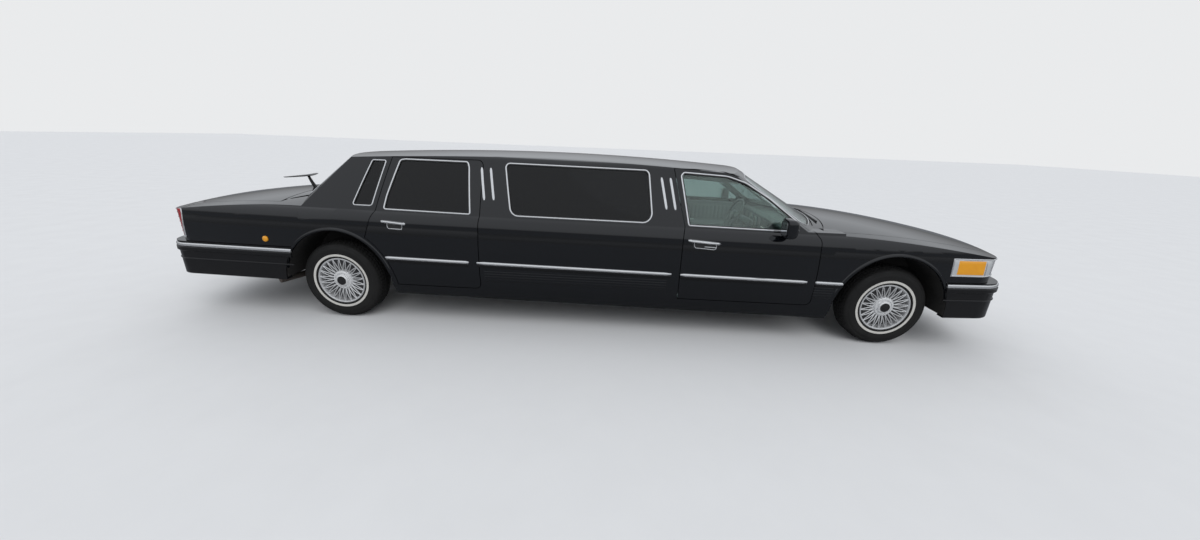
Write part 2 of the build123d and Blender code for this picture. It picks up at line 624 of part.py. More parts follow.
def side_cuts():
    """Everything that is cut through the right half of the shell."""
    nose = LENGTH / 2
    inboard = door_inboard(SHUT_GAP)
    yield front_door_tool(SHUT_GAP) - inboard
    yield rear_door_tool(SHUT_GAP) - inboard
    yield side_window(STRETCH_GLASS, STRETCH_GLASS_RADII, REAR_AXLE)
    yield side_window(QUARTER_GLASS, QUARTER_GLASS_RADII, REAR_AXLE)
    yield hood_tool(SHUT_GAP) - envelope(LID + SHUT_GAP)
    yield trunk_tool(SHUT_GAP)
    yield WINDSCREEN_OPENING
    yield BACKLIGHT_OPENING
    yield arch(FRONT_AXLE, -ARCH_SHIFT, ARCH_RADIUS, -FAR, -WHEEL_HOUSE_Y)
    yield arch(REAR_AXLE, ARCH_SHIFT, ARCH_RADIUS, -FAR, -WHEEL_HOUSE_Y)
    yield box(FRONT_AXLE + FRONT_BUMPER_END - 4, nose, -FAR, 0, 0, FRONT_BUMPER_TOP + 4)
    yield box(-nose, REAR_AXLE + REAR_BUMPER_END + 4, -FAR, 0, 0, REAR_BUMPER_TOP + 4)
    yield headlamp_space(SEAT_GAP)
    yield tail_lamp_space(SEAT_GAP)
    yield box(FRONT_AXLE + 700, nose, -GRILLE_HALF, 0, 0, LAMP_TOP + 2)
    for lead in DOOR_LEADS:
        yield door_hinge(lead)[0]


def headlamp_space(gap):
    return box(FRONT_AXLE + LAMP_SIDE - gap, LENGTH, -FAR, -LAMP_INNER + gap, LAMP_BOTTOM - gap, LAMP_TOP + gap)


def tail_lamp_space(gap):
    tail = -LENGTH / 2 + BUMPER_REACH
    return box(-LENGTH, tail + TAIL_LAMP_SIDE + gap, -FAR, -TAIL_LAMP_INNER + gap,
               TAIL_LAMP_BOTTOM - gap, TAIL_LAMP_TOP + gap)


def both_halves(right):
    return right + mirrored(right)


def liner(axle_x, shift, inner_z, inside):
    """Wheel-house lining on the right: an arch-shaped shell with its inboard wall above inner_z."""
    radius = ARCH_RADIUS + 1
    hollow = arch(axle_x, shift, radius, -FAR, -(WHEEL_HOUSE_Y + LINER))
    solid = arch(axle_x, shift, radius + LINER, -(HALF_WIDTH - 20), -WHEEL_HOUSE_Y)
    above = box(-LENGTH, LENGTH, -FAR, FAR, inner_z, TALL)
    return (solid - hollow) & above & inside


def grille():
    """Bright frame with upright bars, standing in the nose between the headlamps."""
    nose = LENGTH / 2 - BUMPER_REACH
    bow = nose - NOSE_BOW_RADIUS + sqrt(NOSE_BOW_RADIUS ** 2 - GRILLE_HALF ** 2)
    face = make_face([
        ThreePointArc((bow + 8, -GRILLE_HALF), (nose + 8, 0), (bow + 8, GRILLE_HALF)),
        Line((bow + 8, GRILLE_HALF), (bow - GRILLE_DEPTH, GRILLE_HALF)),
        Line((bow - GRILLE_DEPTH, GRILLE_HALF), (bow - GRILLE_DEPTH, -GRILLE_HALF)),
        Line((bow - GRILLE_DEPTH, -GRILLE_HALF), (bow + 8, -GRILLE_HALF)),
    ])
    frame = prism_z(face, GRILLE_BOTTOM, GRILLE_TOP)
    frame -= box(0, LENGTH, -GRILLE_HALF + GRILLE_FRAME, GRILLE_HALF - GRILLE_FRAME,
                 GRILLE_BOTTOM + GRILLE_FRAME, GRILLE_TOP - GRILLE_FRAME)
    pitch = 2 * (GRILLE_HALF - GRILLE_FRAME) / (GRILLE_BARS + 1)
    for number in range(1, GRILLE_BARS + 1):
        y = -GRILLE_HALF + GRILLE_FRAME + number * pitch
        front = nose - NOSE_BOW_RADIUS + sqrt(NOSE_BOW_RADIUS ** 2 - y ** 2)
        frame += box(front - 34, front + 2, y - 3, y + 3, GRILLE_BOTTOM + 2, GRILLE_TOP - 2)
    return frame


def inside_bumpers():
    """Space between the bumpers' inner faces."""
    line = prism_z(plan(BUMPER_WALL + SEAT_GAP), 0, TALL)
    return Pos(BUMPER_REACH, 0, 0) * line + Pos(-BUMPER_REACH, 0, 0) * line


def frame_rails():
    """Ladder frame: two long rails that rise over the rear axle, front rails set inboard, and crossmembers."""
    low, high = CHASSIS_BOTTOM, CHASSIS_TOP
    rise = KICK_UP
    end = LENGTH / 2
    front_end = FIREWALL + 70
    side_view = make_face(Polyline(
        (front_end - 60, low), (REAR_AXLE + 480, low), (REAR_AXLE + 280, low + rise), (REAR_AXLE - 420, low + rise),
        (REAR_AXLE - 600, low + 110), (-end, low + 110), (-end, high + 110), (REAR_AXLE - 640, high + 110),
        (REAR_AXLE - 460, high + rise), (REAR_AXLE + 330, high + rise), (REAR_AXLE + 530, high),
        (front_end - 60, high), close=True))
    main = prism_y(side_view, -CHASSIS_Y - RAIL_WIDTH / 2, -CHASSIS_Y + RAIL_WIDTH / 2)
    front_high = ENGINE_BOTTOM + 30
    arm_seat = UPRIGHT_LOW - SEAT_GAP
    nose_rail = box(FIREWALL + LINER + 4, end, -CHASSIS_Y_FRONT - RAIL_WIDTH / 2,
                    -CHASSIS_Y_FRONT + RAIL_WIDTH / 2, arm_seat, front_high)
    jog = box(front_end - 110, front_end, -CHASSIS_Y - RAIL_WIDTH / 2, -CHASSIS_Y_FRONT + RAIL_WIDTH / 2, low, high)
    frame = both_halves(main + nose_rail + jog)
    members = [FRONT_AXLE - 740, FRONT_AXLE - 1500, 0, REAR_AXLE + 1600, REAR_AXLE + 740]
    for x in members:
        frame += box(x - 45, x + 45, -CHASSIS_Y, CHASSIS_Y, low, high)
    frame += box(FRONT_AXLE - 130, FRONT_AXLE + 130, -CHASSIS_Y_FRONT, CHASSIS_Y_FRONT,
                 arm_seat, ENGINE_BOTTOM - SEAT_GAP)
    frame += box(end - 330, end - 270, -CHASSIS_Y_FRONT, CHASSIS_Y_FRONT, arm_seat, front_high)
    frame += box(-end + 170, -end + 230, -CHASSIS_Y, CHASSIS_Y, low + 110, high + 110)
    frame -= rod((FRONT_AXLE - 600, -EXHAUST_Y, EXHAUST_Z), (REAR_AXLE + 660, -EXHAUST_Y, EXHAUST_Z),
                 PIPE_RADIUS + SEAT_GAP)
    frame -= rod((FRONT_AXLE - 1050, 0, SHAFT_Z - 14), (FRONT_AXLE - 330, 0, SHAFT_Z - 14), GEARBOX_RADIUS + 8)
    return frame & inside_bumpers()


def floor_pan(rear_arch):
    """Cabin floor with its tunnel, the step up to the rear seat and the boot floor."""
    z0, z1 = FLOOR_Z, FLOOR_Z + FLOOR
    half = CABIN_HALF
    floor = box(SEAT_PAN_FRONT, FIREWALL, -half, half, z0, z1)
    step = box(SEAT_PAN_FRONT - FLOOR, SEAT_PAN_FRONT, -half, half, z0, SEAT_PAN_Z)
    pan = box(REAR_BULKHEAD, SEAT_PAN_FRONT, -half, half, SEAT_PAN_Z, SEAT_PAN_Z + FLOOR)
    start, end = (SEAT_PAN_FRONT - FLOOR, 0, TUNNEL_Z), (FIREWALL, 0, TUNNEL_Z)
    tunnel = rod(start, end, TUNNEL_RADIUS) & box(-LENGTH, LENGTH, -half, half, z0, TALL)
    bore = rod((start[0] - 10, 0, TUNNEL_Z), (end[0] + 10, 0, TUNNEL_Z), TUNNEL_RADIUS - TUNNEL_WALL)
    floor = floor + step + pan + tunnel - bore
    return floor - rear_arch - mirrored(rear_arch)


def boot(spare_arch, skin_inner):
    """Boot floor, the panel across the tail below the lid, and the bulkhead behind the seat."""
    tail = -LENGTH / 2 + BUMPER_REACH
    z0, z1 = SEAT_PAN_Z, SEAT_PAN_Z + FLOOR
    floor = box(tail, REAR_BULKHEAD, -FAR, FAR, z0, z1) & skin_inner
    across = TAIL_LAMP_INNER - 4
    wall = (OUTER - skin_inner) & box(-LENGTH, tail + 300, -across, across, z0, LID_FLANGE_Z - SHUT_GAP)
    return ((floor + wall) & inside_bumpers()) - spare_arch - mirrored(spare_arch)


def tyre():
    """Tyre of the right side about the origin, with its axis along Y and its outer wall at -Y."""
    half = TYRE_WIDTH / 2
    shoulder = TYRE_RADIUS - TYRE_SHOULDER
    tread = half - TYRE_SHOULDER
    face = make_face(Polyline(
        (RIM_RADIUS, -half), (shoulder, -half), (TYRE_RADIUS, -tread), (TYRE_RADIUS, tread),
        (shoulder, half), (RIM_RADIUS, half), close=True))
    return revolve(face, axis=Axis.Y)


def rim():
    """Cast wheel of the right side about the origin: barrel, hub and a lace of paired thin spokes."""
    half = RIM_WIDTH / 2
    bore = RIM_RADIUS - RIM_WALL
    back = -HUB_OFFSET
    barrel = make_face(Polyline((RIM_RADIUS, -half), (RIM_RADIUS, half), (bore, half), (bore, -half), close=True))
    hub = make_face(Polyline(
        (0, back), (HUB_RADIUS, back), (HUB_RADIUS, back - HUB_DEPTH), (HUB_CAP_RADIUS, back - HUB_DEPTH),
        (HUB_CAP_RADIUS, back - HUB_CAP_DEPTH), (0, back - HUB_CAP_DEPTH), close=True))
    wheel = revolve(barrel, axis=Axis.Y) + revolve(hub, axis=Axis.Y)
    foot = Vector(HUB_RADIUS - SPOKE_ROOT, back - HUB_DEPTH / 2, 0)
    reach = RIM_RADIUS - RIM_WALL / 2
    bars = []
    for number in range(SPOKE_PAIRS):
        for side in (-1, 1):
            tip_angle = radians(180 / SPOKE_PAIRS * side * SPOKE_SPREAD)
            tip = Vector(reach * cos(tip_angle), SPOKE_SETBACK - half, reach * sin(tip_angle))
            run = tip - foot
            bar = Plane(origin=foot + run * 0.5, x_dir=Vector(0, 1, 0), z_dir=run) * Box(
                SPOKE_WIDTH, SPOKE_THICK, run.length)
            bars.append(Rot(0, number * 360 / SPOKE_PAIRS, 0) * bar)
    return wheel + bars


def knuckle():
    """Right steering knuckle: upright, stub axle and brake disc about the wheel's middle line."""
    x, z = FRONT_AXLE, AXLE_HEIGHT
    flange = -(FRONT_TRACK / 2 + HUB_OFFSET - SEAT_GAP)
    upright = box(x - 24, x + 24, -KINGPIN_Y - 16, -KINGPIN_Y + 16, UPRIGHT_LOW, UPRIGHT_HIGH)
    stub = rod((x, -KINGPIN_Y, z), (x, flange, z), STUB_RADIUS)
    disc = rod((x, -748, z), (x, -772, z), DISC_RADIUS)
    hat = rod((x, -772, z), (x, flange, z), 62)
    arm = box(x - 150, x - 20, -KINGPIN_Y - 10, -KINGPIN_Y + 10, 290, 310)
    return upright + stub + disc + hat + arm


def front_suspension():
    """Upper and lower arms and spring legs, from the crossmember to the knuckles."""
    x = FRONT_AXLE
    inner = -(CHASSIS_Y_FRONT + RAIL_WIDTH / 2)
    low_top = UPRIGHT_LOW - SEAT_GAP
    high_foot = UPRIGHT_HIGH + SEAT_GAP
    lower = box(x - ARM_HALF, x + ARM_HALF, -KINGPIN_Y, -CHASSIS_Y_FRONT + 60, low_top - ARM_THICK, low_top) \
        + rod((x, -KINGPIN_Y, low_top - ARM_THICK), (x, -KINGPIN_Y, low_top), ARM_HALF)
    upper = box(x - ARM_HALF, x + ARM_HALF, -KINGPIN_Y, inner + 90, high_foot, high_foot + ARM_THICK) \
        + rod((x, -KINGPIN_Y, high_foot), (x, -KINGPIN_Y, high_foot + ARM_THICK), ARM_HALF)
    tower = box(x - 70, x + 70, inner - 70, inner, ENGINE_BOTTOM + 30, 600)
    foot = box(x - 70, x + 70, inner - 70, inner + 30, ENGINE_BOTTOM + 30, ENGINE_BOTTOM + 60)
    spring = rod((x, inner - 130, low_top), (x, inner - 130, high_foot), 34)
    half = lower + upper + tower + foot + spring
    return Compound(list(half.solids()) + list(mirrored(half).solids()))


def rear_axle():
    """Live rear axle: tubes, differential, drums and springs up to the frame."""
    x, z = REAR_AXLE, AXLE_HEIGHT
    flange = REAR_TRACK / 2 + HUB_OFFSET - SEAT_GAP
    axle = rod((x, -flange, z), (x, flange, z), AXLE_TUBE)
    axle += rod((x - DIFF_HALF, 0, z), (x + DIFF_HALF, 0, z), DIFF_RADIUS)
    axle += rod((x, 0, z), (x + DIFF_NOSE, 0, z), DIFF_NOSE_RADIUS)
    for side in (-1, 1):
        axle += rod((x, side * 735, z), (x, side * 792, z), DISC_RADIUS)
        axle += rod((x, side * CHASSIS_Y, z), (x, side * CHASSIS_Y, CHASSIS_BOTTOM + KICK_UP), 52)
    return axle


def exhaust():
    """Pipe from the engine, the long silencer and the tail pipe over the axle to behind the right wheel."""
    y, z = -EXHAUST_Y, EXHAUST_Z
    path = FilletPolyline(
        (FRONT_AXLE - 700, y, z), (REAR_AXLE + 520, y, z), (REAR_AXLE + 260, y - 10, 450),
        (REAR_AXLE - 240, y - 20, 450), (REAR_AXLE - 480, y - 60, 270), (REAR_AXLE - 680, -760, 262), radius=100)
    section = Plane(origin=path @ 0, z_dir=path % 0) * RegularPolygon(PIPE_RADIUS, PIPE_SIDES)
    pipe = sweep(section, path=path)
    silencer = Pos(REAR_AXLE + 1170, y, z) * fillet(Box(620, 190, 96).edges().filter_by(Axis.X), 44)
    return pipe + silencer


def driveline():
    """Gearbox and the long propeller shaft."""
    gearbox = rod((FRONT_AXLE - ENGINE_HALF_LENGTH - SEAT_GAP, 0, SHAFT_Z - 14),
                  (FRONT_AXLE - 1050, 0, SHAFT_Z - 14), GEARBOX_RADIUS)
    shaft = rod((FRONT_AXLE - 1050, 0, SHAFT_Z), (REAR_AXLE + DIFF_NOSE + SEAT_GAP, 0, SHAFT_Z), SHAFT_RADIUS)
    return gearbox + shaft


def seat(width_half, x_front, length, top, lean_x):
    """Cushion and leaning back of one seat, about the centreline."""
    cushion = box(x_front - length, x_front, -width_half, width_half, top - SEAT_THICK, top)
    cushion = fillet(cushion.edges().filter_by(Axis.Y), 40)
    height = (BACK_TOP - top + 60) / cos(radians(BACK_LEAN))
    back = Box(BACK_THICK, 2 * width_half, height, align=(Align.MIN, Align.CENTER, Align.MIN))
    back = fillet(back.edges().filter_by(Axis.Y), 40)
    return cushion + Pos(x_front - length + lean_x, 0, top - 60) * Rot(0, -BACK_LEAN, 0) * back


def front_seats():
    """Two separate front seats on plinths, with headrests."""
    one = seat(SEAT_HALF, SEAT_FRONT, SEAT_LENGTH, SEAT_TOP, -60)
    plinth = box(SEAT_FRONT - SEAT_LENGTH + 60, SEAT_FRONT - 60, -SEAT_HALF + 50, SEAT_HALF - 50,
                 FLOOR_Z + FLOOR, SEAT_TOP - SEAT_THICK)
    top_x = SEAT_FRONT - SEAT_LENGTH - 60 - (BACK_TOP - SEAT_TOP) * tan(radians(BACK_LEAN))
    rest = box(top_x + 10, top_x + 100, -130, 130, BACK_TOP - 10, BACK_TOP + 120)
    rest = fillet(rest.edges().filter_by(Axis.Y), 30)
    one = one + plinth + rest
    return Compound(list((Pos(0, -SEAT_Y, 0) * one).solids()) + list((Pos(0, SEAT_Y, 0) * one).solids()))


def rear_seats():
    """Rear bench across the car and the long side bench along the left wall."""
    bench_front = REAR_AXLE + 540
    bench = seat(560, bench_front, 500, SEAT_PAN_Z + FLOOR + SEAT_THICK, -60)
    bench = bench & box(-LENGTH, LENGTH, -FAR, FAR, SEAT_PAN_Z + FLOOR, TALL)
    side_x0, side_x1 = REAR_AXLE + 1480, PARTITION - PARTITION_WALL - 60
    cushion = box(side_x0, side_x1, CABIN_HALF - 520, CABIN_HALF - SEAT_GAP, FLOOR_Z + FLOOR, 560)
    back = box(side_x0, side_x1, CABIN_HALF - 130, CABIN_HALF - SEAT_GAP, 560, 900)
    side = fillet((cushion + back).edges().filter_by(Axis.X), 30)
    return Compound(list(bench.solids()) + list(side.solids()))


def partition(inside):
    """Wall between driver and passengers, with its window opening."""
    wall = box(PARTITION - PARTITION_WALL, PARTITION, -FAR, FAR, FLOOR_Z + FLOOR, TALL)
    opening = box(PARTITION - 100, PARTITION + 100, -500, 500, 980, 1290)
    tunnel = rod((PARTITION - 100, 0, TUNNEL_Z), (PARTITION + 100, 0, TUNNEL_Z), TUNNEL_RADIUS)
    return (wall & inside) - opening - tunnel


def dashboard(inside):
    """Dashboard with its top pad and a hood over the dials, and the steering column."""
    fx = FIREWALL
    outline = polygon([(fx, 640), (fx, 930), (DASH_FACE + 40, 905), (DASH_FACE, 880), (DASH_FACE, 720),
                       (DASH_FACE + 70, 640)], [4, 30, 20, 20, 60, 20])
    pad = prism_y(outline, -FAR, FAR) & inside & box(-LENGTH, LENGTH, -CABIN_HALF, CABIN_HALF, 0, TALL)
    x, y, z = STEERING_CENTRE
    lean = radians(COLUMN_TILT)
    length = (DASH_FACE - x) / cos(lean) + 80
    back = STEERING_HUB / 2 + SEAT_GAP
    start = (x + back * cos(lean), y, z - back * sin(lean))
    end = (x + length * cos(lean), y, z - length * sin(lean))
    return pad + rod(start, end, COLUMN_RADIUS)


def steering_wheel():
    """Steering wheel on the left: ring, hub and three spokes."""
    middle = STEERING_RADIUS - STEERING_TUBE
    section = Plane.XZ * (Pos(middle, 0) * RegularPolygon(STEERING_TUBE, STEERING_SIDES))
    hub = Cylinder(STEERING_HUB_RADIUS, STEERING_HUB)
    wheel = revolve(section, axis=Axis.Z) + hub
    for angle in (0, 180, 270):
        wheel += Rot(0, 0, angle) * (Pos(middle / 2, 0, 0) * Box(middle, 34, 14))
    return Pos(*STEERING_CENTRE) * Rot(0, 90 + COLUMN_TILT, 0) * Rot(0, 0, 90) * wheel


def mirror_housing():
    """Right door mirror: arm and rounded housing."""
    x = FRONT_AXLE - 950
    arm = box(x - 5, x + 75, -960, -880, 926, 950)
    shell = Box(95, 160, 150)
    shell = fillet(shell.edges().filter_by(Axis.Y), MIRROR_CORNER)
    shell = chamfer(shell.faces().sort_by(Axis.Y)[0].edges(), MIRROR_CORNER / 2)
    body = Pos(x + 5, -1005, 995) * shell
    return body + arm


def aerial():
    """Boomerang aerial on a curved post at the front of the boot deck."""
    foot_x = REAR_AXLE - 760
    post = rod((foot_x, 0, DECK_Z - 30), (foot_x - 60, 0, 1120), 9) - OUTER_SEAT
    wing = polygon([(foot_x - 20, 0), (foot_x - 150, 330), (foot_x - 190, 330), (foot_x - 100, 0),
                    (foot_x - 190, -330), (foot_x - 150, -330)], [40, 12, 12, 60, 12, 12])
    return post + prism_z(wing, 1116, 1134)


def wipers():
    """Two wiper arms lying between the hood and the foot of the windscreen, each with its spindle."""
    arms = []
    for spindle_y, tip_y in ((560, 60), (20, -500)):
        ends = []
        for y in (spindle_y, tip_y):
            x = FRONT_AXLE - 437 - 70 * (y / 500) ** 2
            ends.append((x, y, hood_surface(x, y)))
        (x, y, z), (tip_x, tip_y, tip_z) = ends
        root, tip = Vector(x, y, z + 8), Vector(tip_x, tip_y, tip_z + 8)
        bar = Plane(origin=root + (tip - root) * 0.5, x_dir=Vector(0, 0, 1), z_dir=tip - root) * Box(
            WIPER_BAR, WIPER_BAR, (tip - root).length)
        arm = bar + box(x - 9, x + 9, y - 9, y + 9, z - 5, z + 15)
        arms.append(arm - OUTER_SEAT)
    return Compound([solid for arm in arms for solid in arm.solids()])


def body_nodes():
    """Fixed body panels, doors, lids, glass and lamps, each under its node's name."""
    nodes = {}
    half_space = box(-LENGTH, LENGTH, -FAR, 0, 0, TALL)
    skin_inner = envelope(SKIN)
    spaces = hollows(skin_inner, envelope(FRAME))
    pane = envelope(GLASS_INSET) - envelope(GLASS_INSET + GLASS)
    right = OUTER & half_space
    rear_arch = arch(REAR_AXLE, ARCH_SHIFT, ARCH_RADIUS + 1 + LINER, -FAR, -WHEEL_HOUSE_Y)
    front_arch = arch(FRONT_AXLE, -ARCH_SHIFT, ARCH_RADIUS + 1 + LINER, -FAR, -WHEEL_HOUSE_Y)
    liner_spaces = [rear_arch & skin_inner, front_arch & skin_inner]

    front_window = side_window(FRONT_GLASS, FRONT_GLASS_RADII, FRONT_AXLE)
    rear_window = side_window(REAR_GLASS, REAR_GLASS_RADII, REAR_AXLE)
    inboard = door_inboard(0)
    hinges = [door_hinge(lead) for lead in DOOR_LEADS]
    doors = {
        "door_front": (right & front_door_tool(0)) - front_window - spaces[0] - inboard + hinges[0][2],
        "door_rear": (right & rear_door_tool(0)) - rear_window - spaces[0] - inboard + hinges[1][2],
        "door_glass_front": (pane & front_window) - inboard,
        "door_glass_rear": (pane & rear_window) - inboard,
        "mirror": mirror_housing() - OUTER_SEAT,
    }
    for name, solid in doors.items():
        nodes[name + "_right"] = solid
        nodes[name + "_left"] = mirrored(solid)

    lid_shell = OUTER - envelope(LID)
    pin_run = (LID_PIN_RADIUS, -10, 20)
    bore_run = (LID_PIN_RADIUS + RUNNING, 0, 21)
    nodes["hood"] = (lid_shell & hood_tool(0)) + lid_pins(*HOOD_HINGE, *pin_run)
    nodes["trunk_lid"] = (lid_shell & trunk_tool(0)) + lid_pins(*TRUNK_HINGE, *pin_run)

    rest = right
    for cut in list(side_cuts()) + liner_spaces + spaces:
        rest = rest - cut
    lead = FRONT_AXLE + FRONT_DOOR_LEAD + SHUT_GAP
    fender_space = box(lead, LENGTH, -FAR, -HOOD_NOSE_HALF + 300, 0, TALL)
    cowl_space = box(lead - 400, FRONT_AXLE - 380, -CABIN_HALF, 0, 0, TALL)
    fender = (rest & fender_space) - skin_inner - cowl_space
    nodes["front_fenders"] = pair(fender)
    rest = rest - fender
    roof_space = box(REAR_AXLE - 200, FRONT_AXLE - 1000, -640, 0, 1150, TALL)
    nodes["roof_panel"] = both_halves(rest & roof_space)
    boot_space = box(-LENGTH, REAR_BULKHEAD, -TAIL_LAMP_INNER, 0, 0, TALL)
    cowl = both_halves(rest & cowl_space)
    rest = rest - roof_space - cowl_space
    tunnel = rod((FIREWALL - 20, 0, TUNNEL_Z), (FIREWALL + 30, 0, TUNNEL_Z), TUNNEL_RADIUS - TUNNEL_WALL)
    front_liner = liner(FRONT_AXLE, -ARCH_SHIFT, 620, skin_inner) & box(-LENGTH, LENGTH, -FAR, 0, 0, HOOD_Z)
    cowl = (cowl - tunnel) & box(-LENGTH, LENGTH, -FAR, FAR, FLOOR_Z, TALL)
    nodes["cowl"] = cowl - lid_pins(*HOOD_HINGE, *bore_run) - lid_relief(*HOOD_HINGE, *LID_RELIEF)
    rear_liner = liner(REAR_AXLE, ARCH_SHIFT, 480, skin_inner)
    quarter_front = REAR_AXLE + 485
    quarter = rest & box(-LENGTH, quarter_front, -FAR, 0, 0, TALL)
    centre = box(-LENGTH, REAR_BULKHEAD, -TRUNK_HALF - 40, 0, SEAT_PAN_Z + FLOOR, TALL)
    lower = box(-LENGTH, REAR_BULKHEAD, -CABIN_HALF, 0, 0, SEAT_PAN_Z + FLOOR)
    pin_x = TRUNK_HINGE[0] - LID_PIN_BACK
    bracket = box(pin_x - 14, pin_x + 14, -TRUNK_HALF - 30, -TRUNK_HALF - SHUT_GAP - 1, 955, TALL) & OUTER
    boot_shell = both_halves((quarter & centre) + bracket) + boot(rear_arch, skin_inner)
    nodes["boot_shell"] = boot_shell - lid_pins(*TRUNK_HINGE, *bore_run) - lid_relief(*TRUNK_HINGE, *LID_RELIEF)
    nodes["quarter_panels"] = pair(quarter - centre - lower)
    nodes["wheel_houses"] = Compound(list(pair(front_liner).solids()) + list(pair(rear_liner).solids()))
    side = rest & box(quarter_front, lead + 400, -FAR, 0, 0, TALL)
    side = side + hinges[0][1] + hinges[1][1]
    nodes["side_frame_right"] = side
    nodes["side_frame_left"] = mirrored(side)
    nodes["floor_pan"] = floor_pan(rear_arch)

    stretch = pane & side_window(STRETCH_GLASS, STRETCH_GLASS_RADII, REAR_AXLE)
    quarter_pane = pane & side_window(QUARTER_GLASS, QUARTER_GLASS_RADII, REAR_AXLE)
    nodes["fixed_side_glass"] = Compound(list(pair(stretch).solids()) + list(pair(quarter_pane).solids()))
    nodes["windscreen"] = screen_pane(WINDSCREEN, WINDSCREEN_OPENING)
    nodes["rear_window"] = screen_pane(BACKLIGHT, BACKLIGHT_OPENING)
    lamp_shell = OUTER - envelope(LAMP_DEPTH)
    nodes["headlamps"] = pair(lamp_shell & headlamp_space(0))
    nodes["tail_lamps"] = pair(lamp_shell & tail_lamp_space(0))
    nodes["partition"] = partition(envelope(FRAME + SEAT_GAP)
                                   & box(-LENGTH, LENGTH, -CABIN_HALF + SEAT_GAP, CABIN_HALF - SEAT_GAP, 0, TALL))
    nodes["dashboard"] = dashboard(envelope(FRAME + 20))
    return nodes


def build():
    nodes = body_nodes()
    nodes["grille"] = grille()
    nodes["front_bumper"] = bumper(FRONT_BUMPER_TOP, FRONT_BUMPER_BOTTOM, FRONT_AXLE + FRONT_BUMPER_END, 1)
    nodes["rear_bumper"] = bumper(REAR_BUMPER_TOP, REAR_BUMPER_BOTTOM, REAR_AXLE + REAR_BUMPER_END, -1)
    nodes["frame_rails"] = frame_rails()
    nodes["front_suspension"] = front_suspension()
    nodes["rear_axle"] = rear_axle()
    nodes["exhaust"] = exhaust()
    nodes["driveline"] = driveline()
    nodes["engine_block"] = box(FRONT_AXLE - ENGINE_HALF_LENGTH, FRONT_AXLE + ENGINE_HALF_LENGTH,
                                -ENGINE_HALF_WIDTH, ENGINE_HALF_WIDTH, ENGINE_BOTTOM, ENGINE_TOP)
    nodes["radiator"] = box(LENGTH / 2 - 330, LENGTH / 2 - 270, -330, 330, ENGINE_BOTTOM + 30, 760)
    nodes["fuel_tank"] = box(REAR_AXLE - 1150, REAR_AXLE - 700, -390, 390,
                             330, SEAT_PAN_Z - SEAT_GAP)
    nodes["front_seats"] = front_seats()
    nodes["rear_seats"] = rear_seats()
    nodes["steering_wheel"] = steering_wheel()
    nodes["aerial"] = aerial()
    nodes["wipers"] = wipers()
    nodes["knuckle_right"] = knuckle()
    nodes["knuckle_left"] = mirrored(knuckle())
    corners = (("front", FRONT_AXLE, FRONT_TRACK), ("rear", REAR_AXLE, REAR_TRACK))
    wheel_rim, wheel_tyre = rim(), tyre()
    for end, x, track in corners:
        for kind, solid in (("rim", wheel_rim), ("tyre", wheel_tyre)):
            placed = Pos(x, -track / 2, AXLE_HEIGHT) * solid
            nodes[f"{kind}_{end}_right"] = placed
            nodes[f"{kind}_{end}_left"] = mirrored(placed)
    return nodes


os.makedirs("parts", exist_ok=True)
for node, solid in build().items():
    export_step(solid, f"parts/{node}.step")
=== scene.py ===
"""Looks of the stretch limousine: black paint, tinted glass, bright trim, lamps, wheels and cabin.

Metres, in the part's own frame: X forward, Y left, Z up, with the ground at Z = 0.
Right-hand pieces are worked out at negative Y, and left-hand ones are their mirror image.
"""
import json
import math

import bmesh
import bpy
import numpy as np
from mathutils import Matrix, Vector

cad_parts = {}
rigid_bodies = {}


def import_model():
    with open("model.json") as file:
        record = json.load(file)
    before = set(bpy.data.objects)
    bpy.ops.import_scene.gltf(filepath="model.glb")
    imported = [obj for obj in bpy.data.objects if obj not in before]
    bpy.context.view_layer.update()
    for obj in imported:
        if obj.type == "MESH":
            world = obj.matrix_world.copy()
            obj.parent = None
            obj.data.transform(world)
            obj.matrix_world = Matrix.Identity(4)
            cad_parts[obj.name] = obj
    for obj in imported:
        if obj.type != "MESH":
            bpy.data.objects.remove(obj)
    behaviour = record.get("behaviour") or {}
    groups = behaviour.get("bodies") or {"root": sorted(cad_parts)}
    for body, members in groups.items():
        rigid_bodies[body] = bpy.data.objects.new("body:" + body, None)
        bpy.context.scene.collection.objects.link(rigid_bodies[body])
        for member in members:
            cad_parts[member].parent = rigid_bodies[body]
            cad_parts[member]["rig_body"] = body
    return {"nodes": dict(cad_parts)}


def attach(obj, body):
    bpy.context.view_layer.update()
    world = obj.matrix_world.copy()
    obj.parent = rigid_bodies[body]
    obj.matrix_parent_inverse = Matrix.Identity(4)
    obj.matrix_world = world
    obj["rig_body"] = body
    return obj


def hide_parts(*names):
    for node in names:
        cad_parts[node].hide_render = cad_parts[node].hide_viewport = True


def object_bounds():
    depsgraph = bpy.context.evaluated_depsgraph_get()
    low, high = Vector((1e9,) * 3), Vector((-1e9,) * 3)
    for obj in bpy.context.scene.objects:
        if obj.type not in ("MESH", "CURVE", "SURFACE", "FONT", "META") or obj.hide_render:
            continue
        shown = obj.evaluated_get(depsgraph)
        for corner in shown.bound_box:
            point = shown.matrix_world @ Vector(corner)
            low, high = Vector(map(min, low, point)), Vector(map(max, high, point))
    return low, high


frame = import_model()
cad_box = [list(corner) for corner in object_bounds()]

